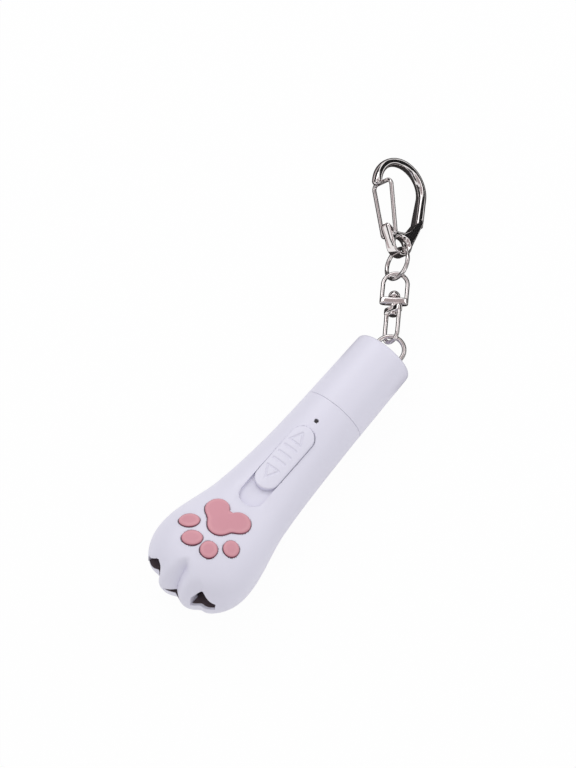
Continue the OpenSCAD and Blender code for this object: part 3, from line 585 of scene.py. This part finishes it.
direction = np.stack([np.cos(pad_turns), np.sin(pad_turns)], axis=1)
pads = [pad_points(direction * palm_radius(pad_turns)[:, None], np.array([-palm_u, palm_y]))]
for u, side, splay, length, width in toe_pads:
    c, s = math.cos(math.radians(splay)), math.sin(math.radians(splay))
    along = direction[:, 0] * length / 2
    across = direction[:, 1] * width / 2
    oval = np.stack([along * c + across * s, across * c - along * s], axis=1)
    pads.append(pad_points(oval, np.array([-u, side])))
pad_size = len(pad_rings) * len(pad_turns)
pad_faces = np.concatenate([grid_faces(len(pad_rings), len(pad_turns), i * pad_size)
                            for i in range(len(pads))])
pad_piece = make_piece("paw_pads_soft", np.stack(pads), pad_faces, sharp=60)
pad_places = np.empty((len(pad_piece.data.vertices), 3))
pad_piece.data.vertices.foreach_get("co", pad_places.reshape(-1))
from_edge = np.clip(-pad_distance(pad_places[:, 0] / MM, pad_places[:, 1] / MM) / rim_reach, 0, 1)
pad_piece.data.attributes.new("from_edge", "FLOAT", "POINT").data.foreach_set("value", from_edge)
# The base pink is the colour of the painted rim highlight; the ramp below darkens it elsewhere
pad_pink = material("pad_pink", (0.7, 0.335, 0.386), 0.5, grain=2500, depth=0.08, wander=0.03)
pad_nodes, pad_links = pad_pink.node_tree.nodes, pad_pink.node_tree.links
edge_value = pad_nodes.new("ShaderNodeAttribute")
edge_value.attribute_name = "from_edge"
rim = pad_nodes.new("ShaderNodeValToRGB")
for place, _ in rim_shade_and_highlight[1:-1]:
    rim.color_ramp.elements.new(place)
for stop, (place, tint) in zip(rim.color_ramp.elements, rim_shade_and_highlight):
    stop.position = place
    stop.color = (*tint, 1)
pad_links.new(edge_value.outputs["Fac"], rim.inputs["Fac"])
# Multiplies the painted shade and painted highlight of the ramp into the pink
rim_light_paint = pad_nodes.new("ShaderNodeMix")
rim_light_paint.data_type = "RGBA"
rim_light_paint.blend_type = "MULTIPLY"
rim_light_paint.inputs["Factor"].default_value = 1
base_colour = pad_nodes["Principled BSDF"].inputs["Base Color"]
pad_links.new(base_colour.links[0].from_socket, rim_light_paint.inputs["A"])
pad_links.new(rim.outputs["Color"], rim_light_paint.inputs["B"])
pad_links.new(rim_light_paint.outputs["Result"], base_colour)
pad_piece.data.materials.append(pad_pink)
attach(pad_piece, "pointer")
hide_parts("paw_pads")

# Slide knob of the switch, moulded in the body's plastic. Two triangles and three bars are sunk
# into its crown for grip, and its stem reaches down to the switch's lever.
knob_top = 11.95
knob_crown = 14.0
knob_edge = 0.5
knob_bottom = 9.85
mark_depth = 0.3
mark_w = 0.6
mark_y = 0.5
bar_places = (-2.1, 0.8, 3.7)
bar_half = 2.3
bar_w = 0.75
triangles = ((-9.2, -5.1), (10.2, 6.1))
knob_mid = knob_u + knob_l / 2


def groove_profile(distance, width):
    """Depth share of a sunk line by the distance from its middle: a flat floor to a quarter of its
    width, then a flank that eases out over half of it."""
    return 1 - ease((np.abs(distance) - width * 0.25) / (width * 0.5))


def segment_distance(x, y, a, b):
    """Distance of places from a straight line between two points."""
    a, b = np.array(a, float), np.array(b, float)
    run = b - a
    share = np.clip(((x - a[0]) * run[0] + (y - a[1]) * run[1]) / (run @ run), 0, 1)
    return np.hypot(x - a[0] - share * run[0], y - a[1] - share * run[1])


def knob_marks(x, y):
    """Depth share of the marks on the knob: three bars across it and a triangle at each end."""
    depth = 0 * x
    for place in bar_places:
        bar = segment_distance(x, y, (place, mark_y - bar_half), (place, mark_y + bar_half))
        depth = np.maximum(depth, groove_profile(bar, bar_w))
    for tip, foot in triangles:
        corners = [(tip, mark_y), (foot, mark_y + bar_half), (foot, mark_y - bar_half), (tip, mark_y)]
        for a, b in zip(corners[:-1], corners[1:]):
            depth = np.maximum(depth, groove_profile(segment_distance(x, y, a, b), mark_w))
    return depth


def knob_points():
    """The knob as a grid: rows along it, closer at the round ends, and columns across it that fold
    down its sides. The crown is an arc across the knob with a rounded edge and sunk marks."""
    straight = (knob_l - knob_w) / 2
    bend = np.sin(np.linspace(0, math.pi / 2, 40))
    along = np.concatenate([-straight - knob_w / 2 * bend[:0:-1], np.linspace(-straight, straight, 150),
                            straight + knob_w / 2 * bend[1:]])
    beyond = np.maximum(np.abs(along) - straight, 0)
    half = np.sqrt(np.maximum((knob_w / 2)**2 - beyond**2, 0))
    across = np.sin(np.linspace(-math.pi / 2, math.pi / 2, 91))
    y = half[:, None] * across[None, :]
    x = along[:, None] + 0 * y
    edge = knob_w / 2 - np.hypot(np.maximum(np.abs(x) - straight, 0), y)
    round_off = knob_edge * (1 - np.sqrt(np.maximum(1 - np.maximum(1 - edge / knob_edge, 0)**2, 0)))
    z = knob_top - knob_crown + np.sqrt(knob_crown**2 - y**2) - round_off
    z = z - mark_depth * knob_marks(x, y)
    top = np.stack([x - knob_mid, y, z], axis=2)
    foot = top[:, [0, -1]].copy()
    foot[..., 2] = knob_bottom
    return np.concatenate([foot[:, :1], top, foot[:, 1:], foot[:, :1]], axis=1)


knob_grid = knob_points()
knob = make_piece("slide_knob_cap", knob_grid, grid_faces(*knob_grid.shape[:2]), sharp=50)
knob.data.materials.append(body_plastic)
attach(knob, "slider")
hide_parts("slide_knob")

# Pull-off cap of the same plastic. It is one turned shape: a slow taper, a round end edge, a pocket
# with a bar for the key ring, and a bore that slides on the neck round the plug.
cap_x = 0.08
cap_l = 27.0
cap_end_r = 10.4
cap_round = 2.0
cap_bore_r = 9.0
cap_bore_end = 21.7
end_pocket = 4.0
end_pocket_r = 7.3
bar_d = 1.8


def arc(centre, radius, start, end, count):
    """Points on an arc between two angles in degrees."""
    angle = np.radians(np.linspace(start, end, count))
    return np.stack([centre[0] + radius * np.cos(angle), centre[1] + radius * np.sin(angle)], axis=1)


def turned(profile, count):
    """A profile of places along X and radii, turned once round the X axis."""
    angle = np.linspace(0, 2 * math.pi, count + 1)[None, :]
    x, r = profile[:, :1], profile[:, 1:]
    return np.stack([x + 0 * angle, r * np.cos(angle), r * np.sin(angle)], axis=2)


mouth_break = 0.08
cap_soft = 0.35
taper_start = 1.0
taper_end = 0.4
taper_round = 0.02
bar_hold = 0.5
pocket_x = cap_l - end_pocket
cap_profile = np.concatenate([
    [[cap_bore_end, 0]],
    [[cap_bore_end, cap_bore_r]],
    arc((cap_x + cap_soft, cap_bore_r + cap_soft), cap_soft, 270, 180, 5),
    arc((cap_x + mouth_break, handle_r - mouth_break), mouth_break, 180, 90, 5),
    np.linspace([cap_x + taper_start, handle_r - taper_round],
                [cap_l - cap_round - taper_end, cap_end_r + taper_round], 30),
    arc((cap_l - cap_round, cap_end_r - cap_round), cap_round, 88, 0, 20),
    arc((cap_l - cap_soft, end_pocket_r + cap_soft), cap_soft, 0, -90, 6),
    arc((pocket_x + cap_soft, end_pocket_r - cap_soft), cap_soft, 90, 180, 6),
    [[pocket_x, 0]]])
cap_grid = turned(cap_profile, 160)
bar_turn = np.radians(np.arange(0, 361, 10))[None, :]
bar_z = (end_pocket_r + bar_hold) * np.array([-1, -1, -0.5, 0, 0.5, 1, 1])[:, None]
bar_radius = bar_d / 2 * np.array([0, 1, 1, 1, 1, 1, 0])[:, None]
bar_points = np.stack([cap_l - bar_d / 2 + bar_radius * np.cos(bar_turn), bar_radius * np.sin(bar_turn),
                       bar_z + 0 * bar_turn], axis=2)
cap_points = np.concatenate([cap_grid.reshape(-1, 3), bar_points.reshape(-1, 3)])
cap_faces = np.concatenate([grid_faces(*cap_grid.shape[:2]),
                            grid_faces(*bar_points.shape[:2], cap_grid.shape[0] * cap_grid.shape[1])])
cap = make_piece("cap_shell", cap_points, cap_faces)
cap.data.materials.append(body_plastic)
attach(cap, "cap")
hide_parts("cap")

# Key ring of round steel wire, bent into a ring, closed and nickel plated. It hangs on the bar in
# the cap's end and swings about it.
ring_x = 28.95
ring_r = 4.75
ring_wire = 1.5
nickel = material("bright_nickel", (0.84, 0.8, 0.797), 0.045, metallic=1.0, grain=2000, depth=0.02)


def swept(path, up, half_w, half_h, roundness, sides, closed=False):
    """A section carried along a flat path. The section is a superellipse of a half width across the
    path and a half height along up; the roundness is its power, 1 for an ellipse. An open path is
    closed by a point at each end."""
    up = np.asarray(up, float)
    if closed:
        tangent = np.roll(path, -1, axis=0) - np.roll(path, 1, axis=0)
    else:
        tangent = np.gradient(path, axis=0)
    side = np.cross(tangent, up)
    side /= np.linalg.norm(side, axis=1, keepdims=True)
    angle = np.linspace(0, 2 * math.pi, sides + 1)[None, :]
    bend = np.broadcast_to(roundness, len(path))[:, None]
    cosine, sine = np.cos(angle), np.sin(angle)
    across = np.sign(cosine) * np.abs(cosine)**bend * np.broadcast_to(half_w, len(path))[:, None]
    lift = np.sign(sine) * np.abs(sine)**bend * np.broadcast_to(half_h, len(path))[:, None]
    points = path[:, None, :] + side[:, None, :] * across[..., None] + up * lift[..., None]
    if closed:
        return np.concatenate([points, points[:1]])
    ends = [np.broadcast_to(path[i], points[:1].shape) for i in (0, -1)]
    return np.concatenate([ends[0], points, ends[1]])


def wire_ring(radius, wire):
    """A closed ring of round wire, flat about the origin."""
    angle = np.radians(np.arange(0, 360, 3))
    path = np.stack([radius * np.cos(angle), radius * np.sin(angle), 0 * angle], axis=1)
    return swept(path, (0, 0, 1), wire / 2, wire / 2, 1, 28, closed=True)


def metal_link(name, grids, body, node):
    """A nickel-plated link of one or more grids, on its body and in place of its CAD node."""
    first = np.cumsum([0] + [g.shape[0] * g.shape[1] for g in grids])
    faces = np.concatenate([grid_faces(*g.shape[:2], n) for g, n in zip(grids, first)])
    link = make_piece(name, np.concatenate([g.reshape(-1, 3) for g in grids]), faces, sharp=50)
    link.data.materials.append(nickel)
    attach(link, body)
    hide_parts(node)


metal_link("key_ring_wire", [wire_ring(ring_r, ring_wire) + [ring_x, 0, 0]], "key_ring", "key_ring")

# Swivel: a lower loop on the key ring and a shackle above it, each a bow of wire on a cast crossbar.
# A rivet with a domed head joins the crossbars, and the shackle turns on it.
chain_yaw = 34.5
chain_slope = 4.5
link_wire = 1.4
loop_s = 2.8
loop_l = 13.65
loop_w = 7.4
loop_roll = -45.0
swivel_gap = 0.5
shackle_l = 12.15
shackle_w = 9.4
crossbar_l = 2.6
crossbar_t = 2.8
rivet_r = 1.95
rivet_break = 0.1
rivet_rim = 0.3
rivet_gap = 0.2
pin_r = 0.9
pin_foot_r = 1.5
pin_foot_l = 0.8
pin_foot_round = 0.3
pin_foot_gap = 0.05
bow_start = 0.2


def turn_about(axis, degrees):
    """Rotation matrix about X, Y or Z."""
    return np.array(Matrix.Rotation(math.radians(degrees), 3, axis))


def on_chain(points, roll):
    """Moves points from a link's own frame, with X along the chain from the middle of the key ring,
    to its place: rolled about the chain, sloped down at the ring's wire, then turned with it."""
    hung = (points @ turn_about("X", roll).T - [ring_r, 0, 0]) @ turn_about("Y", chain_slope).T
    return (hung + [ring_r, 0, 0]) @ turn_about("Z", chain_yaw).T + [ring_x, 0, 0]


def wire_bow(radius, leg, ahead):
    """A half ring of wire with two straight legs; ahead is 1 where the bow points along the chain."""
    angle = np.radians(np.linspace(-90, 90, 49))
    bow = np.stack([ahead * radius * np.cos(angle), radius * np.sin(angle), 0 * angle], axis=1)
    lead = np.linspace([-ahead * leg, -radius, 0], [-ahead * bow_start, -radius, 0], 12)
    tail = np.linspace([-ahead * bow_start, radius, 0], [-ahead * leg, radius, 0], 12)
    return swept(np.concatenate([lead, bow, tail]), (0, 0, 1), link_wire / 2, link_wire / 2, 1, 28)


def rounded_block(length, width, height, corner=0.32, crown=0.65):
    """A block with rounded edges, centred on the origin: a superellipsoid with one power for its
    outline seen from above and a higher one for its crown."""
    tilt = np.linspace(-math.pi / 2, math.pi / 2, 49)[:, None]
    turn = np.linspace(-math.pi, math.pi, 97)[None, :]

    def soft(value, bend):
        """A power of a value that keeps its sign."""
        return np.sign(value) * np.abs(value)**bend

    belt = soft(np.cos(tilt), crown)
    return np.stack([length / 2 * belt * soft(np.cos(turn), corner),
                     width / 2 * belt * soft(np.sin(turn), corner),
                     height / 2 * soft(np.sin(tilt), crown) + 0 * turn], axis=2)


loop_end = loop_s - link_wire / 2 + loop_l
loop_r = (loop_w - link_wire) / 2
loop_bow = wire_bow(loop_r, loop_l - loop_w / 2 - crossbar_l / 2, -1) + [loop_s + loop_r, 0, 0]
loop_bar = rounded_block(crossbar_l, loop_w, crossbar_t) + [loop_end - crossbar_l / 2, 0, 0]
metal_link("swivel_loop_casting", [on_chain(loop_bow, loop_roll), on_chain(loop_bar, loop_roll)],
           "swivel_loop", "swivel_loop")

shackle_s = loop_end + swivel_gap
bow_s = shackle_s + shackle_l - link_wire / 2
shackle_r = (shackle_w - link_wire) / 2
shackle_leg = shackle_l - shackle_w / 2 - crossbar_l / 2
shackle_bow = wire_bow(shackle_r, shackle_leg, 1) + [bow_s - shackle_r, 0, 0]
shackle_bar = rounded_block(crossbar_l, shackle_w, crossbar_t) + [shackle_s + crossbar_l / 2, 0, 0]
metal_link("swivel_shackle_casting", [on_chain(shackle_bow, 0), on_chain(shackle_bar, 0)],
           "swivel_shackle", "swivel_shackle")

head_s = shackle_s + crossbar_l + rivet_gap
foot_s = loop_end - crossbar_l - pin_foot_l - pin_foot_gap
pin_profile = np.concatenate([
    [[foot_s, 0]],
    arc((foot_s + pin_foot_round, pin_foot_r - pin_foot_round), pin_foot_round, 180, 90, 6),
    [[foot_s + pin_foot_l, pin_foot_r], [foot_s + pin_foot_l, pin_r], [head_s, pin_r]],
    [[head_s, rivet_r - rivet_break], [head_s + rivet_break, rivet_r]],
    arc((head_s + rivet_rim, 0), rivet_r, 90, 0, 20)])
metal_link("swivel_rivet", [on_chain(turned(pin_profile, 48), 0)], "swivel_loop", "swivel_pin")

# Jump ring of plated round wire. It is sprung open, hooked through the shackle and the hook's eye
# and pressed shut.
jump_r = 5.25
jump_wire = 1.4
jump_roll = -48.0
jump_slack = 0.2
jump_s = bow_s - (link_wire + jump_wire) / 2 - jump_slack + jump_r
jump_ring = wire_ring(jump_r, jump_wire) + [jump_s, 0, 0]
metal_link("jump_ring_wire", [on_chain(jump_ring, jump_roll)], "jump_ring", "jump_ring")

# Snap hook, die cast in zinc and nickel plated: a flat base with the eye and a stub, and an arm
# that rises from the base, bows over and ends in the nose the gate closes against.
hook_roll = 42.0
hook_l = 29.0
hook_w = 18.8
hook_mid_y = 2.0
bow_rise = 9.2
arm_w = 2.8
arm_t = 3.6
base_t = 4.2
eye_r = 2.25
eye_slack = 0.1
eye_web = 1.75
eye_flare = 2.6
arm_root = np.array([9, -6.6])
stub = np.array([4.7, 5.5])
arm_foot = np.array([11, -6.75])
stub_r = 1.4
mouth_floor = 4.0
mouth_r = 7.5
mouth_y = 2.2
face_least = 0.15
edge_least = 0.3
edge_most = 1.2
nose_l = 2.2
tip_share = 0.045
tip_power = 2.5
tip_least = 0.04
arm_sink = 0.06
arm_root_share = 0.3
arm_square = 0.45
arm_round = 0.85
arm_round_share = 0.4
bow_x = hook_l - bow_rise
nose_x = bow_x - nose_l
eye_s = jump_s + jump_r - jump_wire / 2 - eye_slack + eye_r


def ray_to_circle(angle, centre, radius):
    """Distance from the origin along a direction to the near side of a circle, or very far where the
    ray misses it: the place along the ray beside the centre, less half the chord."""
    along = centre[0] * np.cos(angle) + centre[1] * np.sin(angle)
    inside = radius**2 - centre[0]**2 - centre[1]**2 + along**2
    root = np.sqrt(np.maximum(inside, 0))
    hit = (inside >= 0) & (along + root > 0)
    return np.where(hit, along - root, 1e9)


def hull_reach(angle, circles):
    """Distance from the origin to the hull of some circles in each direction: the least, over all
    tangent directions, of the hull's support divided by the cosine to that tangent."""
    least_cosine = 0.02
    tangent = np.radians(np.arange(0, 360, 0.5))
    support = np.max([c[0] * np.cos(tangent) + c[1] * np.sin(tangent) + c[2] for c in circles], axis=0)
    cosine = np.cos(angle[:, None] - tangent[None, :])
    reach = np.where(cosine > least_cosine, support / np.maximum(cosine, least_cosine), 1e9)
    return np.min(reach, axis=1)


def hook_base():
    """The base as rings round the eye. Each section runs from the flared bore over the flat face
    and a rounded edge down the side and back; its outer end is the base's outline, the hull of eye,
    stub and arm foot less the round floor of the mouth."""
    angle = np.radians(np.linspace(0, 360, 361))
    outline = hull_reach(angle, [(0, 0, eye_r + eye_web), (*stub, stub_r), (*arm_foot, stub_r)])
    outline = np.minimum(outline, ray_to_circle(angle, (mouth_floor + mouth_r, mouth_y), mouth_r))
    half_t = base_t / 2
    open_r = eye_r + eye_flare - math.sqrt(eye_flare**2 - half_t**2)
    edge = np.clip(outline - open_r - face_least, edge_least, edge_most)
    tilt = half_t * np.linspace(-1, 1, 25)[:, None]
    share = np.linspace(0.1, 1, 12)[:, None]
    back_share = np.linspace(1, 0, 12)[:, None]
    rounding = arc((0, 0), 1, 90, 0, 12)
    over, under = rounding[1:], rounding[::-1]
    face = outline - edge - open_r
    level = 0 * angle
    radius = np.concatenate([eye_r + eye_flare - np.sqrt(eye_flare**2 - tilt**2) + level,
                             open_r + face * share,
                             outline - edge + edge * over[:, :1],
                             outline - edge + edge * under[:, :1],
                             open_r + face * back_share])
    height = np.concatenate([tilt + level,
                             half_t + level * share,
                             half_t - edge + edge * over[:, 1:],
                             edge - half_t - edge * under[:, 1:],
                             -half_t + level * back_share])
    return np.stack([radius * np.cos(angle), radius * np.sin(angle), height], axis=2)


def hook_arm():
    """The arm as a superelliptic section along its middle line: up the back, over an elliptic bow
    and down to the nose. It is squarer at the base and rounder on the bow, and the nose closes in."""
    back = np.array([bow_x, hook_mid_y - hook_w / 2])
    rise = np.linspace(arm_root, back, 30)[:-1]
    sweep = np.radians(np.linspace(-90, 90, 90))
    bow = np.stack([bow_x + bow_rise * np.cos(sweep), hook_mid_y + hook_w / 2 * np.sin(sweep)], axis=1)
    nose = np.linspace([bow_x, hook_mid_y + hook_w / 2], [nose_x, hook_mid_y + hook_w / 2], 16)[1:]
    path = np.concatenate([rise, bow, nose])
    run = np.concatenate([[0], np.cumsum(np.linalg.norm(np.diff(path, axis=0), axis=1))])
    run /= run[-1]
    to_tip = np.clip((run - 1 + tip_share) / tip_share, 0, 1)
    close = np.sqrt(np.maximum(1 - to_tip**tip_power, tip_least))
    width = arm_w / 2 * close
    near_base = 1 - ease(run / arm_root_share)
    height = (arm_t / 2 + (base_t - arm_t - arm_sink) / 2 * near_base) * close
    roundness = arm_square + (arm_round - arm_square) * ease(run / arm_round_share)
    path = np.concatenate([path, 0 * path[:, :1]], axis=1)
    return swept(path, (0, 0, 1), width, height, roundness, 40)


def on_hook(points):
    """Moves points from the hook's own frame, with the eye at the origin, to its place: rolled about
    the chain and set on the jump ring."""
    return on_chain(points @ turn_about("X", hook_roll).T + [eye_s, 0, 0], 0)


metal_link("snap_hook_casting", [on_hook(hook_base()), on_hook(hook_arm())], "hook", "snap_hook")

# Gate of the hook: one piece of spring wire, bent into a narrow U. Its two ends are sprung into the
# holes of the base, and its bow rests behind the nose.
gate_wire = 1.4
gate_w = 8.6
gate_bend = 1.8
gate_foot = 0.8
gate_close = 1.1
gate_end = 0.9
gate_gap = 0.08
gate_reach = 2.0
leg_trim = np.array([0.5, 0.04])
pivot = np.array([2.2, 4.3])
gate_tip = np.array([nose_x + gate_reach,
                     hook_mid_y + hook_w / 2 - arm_w / 2 - gate_wire / 2 - gate_gap])


def gate_points():
    """Round wire along a flat U: in from one pivot, up a leg that opens a little, across the tip
    and back down."""
    leg = np.linalg.norm(gate_tip - pivot)
    half = gate_w / 2
    near = half - gate_close
    quarter = arc((leg - gate_bend, half - gate_bend), gate_bend, 86, 0, 16)
    heel = arc((gate_foot, near - gate_foot), gate_foot, 180, 94, 12)
    straight = np.linspace(leg_trim + [gate_foot, near], quarter[0] - leg_trim, 12)
    side = np.concatenate([[[0, gate_end]], heel, straight, quarter])
    flat = np.concatenate([side, side[::-1] * [1, -1]])
    path = np.stack([flat[:, 0], 0 * flat[:, 0], flat[:, 1]], axis=1)
    return swept(path, (0, 1, 0), gate_wire / 2, gate_wire / 2, 1, 24)


lean = math.degrees(math.atan2(gate_tip[1] - pivot[1], gate_tip[0] - pivot[0]))
gate_grid = gate_points() @ turn_about("Z", lean).T + [*pivot, 0]
metal_link("hook_gate_wire", [on_hook(gate_grid)], "gate", "hook_gate")

# Table under the pointer: a plain white sheet that runs out of sight. To the camera and to mirrors
# it shows as white, and it keeps a faint shadow of the pointer.
floor_z = -11.15
table_half = 3000.0
sheet_white = 0.96


def flat_card(name, low, high, z):
    """A level rectangle between two corners."""
    corners = [[low[0], low[1], z], [high[0], low[1], z], [high[0], high[1], z], [low[0], high[1], z]]
    return make_piece(name, corners, [[0, 1, 2, 3]])


def seen_or_mirrored(nodes, links):
    """Output that is 1 for rays from the camera, off a mirror and through glass, else 0: the largest
    of the three ray kinds."""
    ray = nodes.new("ShaderNodeLightPath")
    value = ray.outputs["Is Camera Ray"]
    for kind in ("Is Glossy Ray", "Is Transmission Ray"):
        either = nodes.new("ShaderNodeMath")
        either.operation = "MAXIMUM"
        links.new(value, either.inputs[0])
        links.new(ray.outputs[kind], either.inputs[1])
        value = either.outputs[0]
    return value


floor = flat_card("table", (-table_half, -table_half), (table_half, table_half), floor_z)
sheet = bpy.data.materials.new("white_sheet")
sheet.use_nodes = True
sheet_nodes, sheet_links = sheet.node_tree.nodes, sheet.node_tree.links
paper = sheet_nodes["Principled BSDF"]
paper.inputs["Base Color"].default_value = (0.86, 0.86, 0.87, 1)
paper.inputs["Roughness"].default_value = 0.9
glow = sheet_nodes.new("ShaderNodeEmission")
share = sheet_nodes.new("ShaderNodeMath")
share.operation = "MULTIPLY"
share.inputs[1].default_value = sheet_white
blend = sheet_nodes.new("ShaderNodeMixShader")
sheet_links.new(seen_or_mirrored(sheet_nodes, sheet_links), share.inputs[0])
sheet_links.new(share.outputs[0], blend.inputs["Fac"])
sheet_links.new(paper.outputs[0], blend.inputs[1])
sheet_links.new(glow.outputs[0], blend.inputs[2])
sheet_links.new(blend.outputs[0], sheet_nodes["Material Output"].inputs["Surface"])
floor.data.materials.append(sheet)

# Studio: a white surround and two broad soft lamps. Black flags round the horizon, a rose card above
# and two cards on the table draw the dark lines in the plated metal, and only mirrors show them.
surround_light = 0.8
surround_shown = 1.0
world = bpy.data.worlds.new("studio")
bpy.context.scene.world = world
world.use_nodes = True
world_nodes, world_links = world.node_tree.nodes, world.node_tree.links
surround = world_nodes["Background"]
surround.inputs["Color"].default_value = (1, 1, 1, 1)
strength = world_nodes.new("ShaderNodeMapRange")
strength.inputs["To Min"].default_value = surround_light
strength.inputs["To Max"].default_value = surround_shown
world_links.new(seen_or_mirrored(world_nodes, world_links), strength.inputs["Value"])
world_links.new(strength.outputs["Result"], surround.inputs["Strength"])

flag_black = material("flag_black", (0.008, 0.008, 0.009), 0.9)
card_rose = material("card_rose", (0.5, 0.43, 0.43), 0.9)
card_dark = material("card_dark", (0.03, 0.026, 0.026), 0.9)


def shiny_only(card, finish):
    """A card of the studio that only mirrors show: it neither lights nor shades the pointer."""
    card.data.materials.append(finish)
    card.visible_camera = False
    card.visible_diffuse = False
    card.visible_shadow = False
    card.visible_transmission = False


def flag(name, finish, start, end, low, high, radius=500):
    """A curved card round the pointer between two azimuths and two elevations, in degrees."""
    turn = np.radians(np.linspace(start, end, 24))[None, :]
    tilt = np.radians(np.linspace(low, high, 12))[:, None]
    level = np.cos(tilt)
    band = np.stack([np.cos(turn) * level, np.sin(turn) * level, np.sin(tilt) + 0 * turn], axis=2)
    shiny_only(make_piece(name, radius * band, grid_faces(*band.shape[:2])), finish)


flag("flag_right", flag_black, -80, 28, 0, 36)
flag("flag_back", flag_black, 48, 140, 0, 30)
flag("flag_left", flag_black, 158, 252, 0, 37)
flag("card_above", card_rose, -200, 120, 49, 88)
card_lift = 0.05
card_z = floor_z + card_lift
shiny_only(flat_card("card_below", (22, -30), (130, 90), card_z), card_dark)
shiny_only(flat_card("card_behind", (-60, 90), (160, 300), card_z), card_rose)


def lamp(name, place, size, watts):
    """A square soft lamp that faces the pointer's middle."""
    light = bpy.data.lights.new(name, "AREA")
    light.size = size
    light.energy = watts
    holder = bpy.data.objects.new(name, light)
    bpy.context.scene.collection.objects.link(holder)
    holder.location = place
    holder.rotation_mode = "QUATERNION"
    holder.rotation_quaternion = Vector(place).to_track_quat("Z", "Y")


lamp("soft_left", (0.25, 0.5, 0.85), size=0.6, watts=2.0)
lamp("soft_right", (0.75, -0.35, 0.6), size=0.6, watts=1.1)

# Camera: a long lens that looks down on the pointer at about 68 degrees from beside the paw, a little
# rolled, as the photograph does.
camera_data = bpy.data.cameras.new("camera")
camera_data.sensor_width = 36
camera_data.lens = 938
camera_data.clip_end = 20
camera = bpy.data.objects.new("camera", camera_data)
bpy.context.scene.collection.objects.link(camera)
image_right = (0.6297, -0.7758, -0.0409)
image_up = (0.7295, 0.5724, 0.3744)
to_camera = (-0.267, -0.2656, 0.9264)
target = np.array([-2.1, 17.2, 4.3]) * MM
camera_distance = 6.5
camera_place = target + camera_distance * np.array(to_camera)
camera.matrix_world = Matrix((
    (image_right[0], image_up[0], to_camera[0], camera_place[0]),
    (image_right[1], image_up[1], to_camera[1], camera_place[1]),
    (image_right[2], image_up[2], to_camera[2], camera_place[2]),
    (0, 0, 0, 1)))
bpy.context.scene.camera = camera
bpy.context.scene.view_settings.view_transform = "Standard"
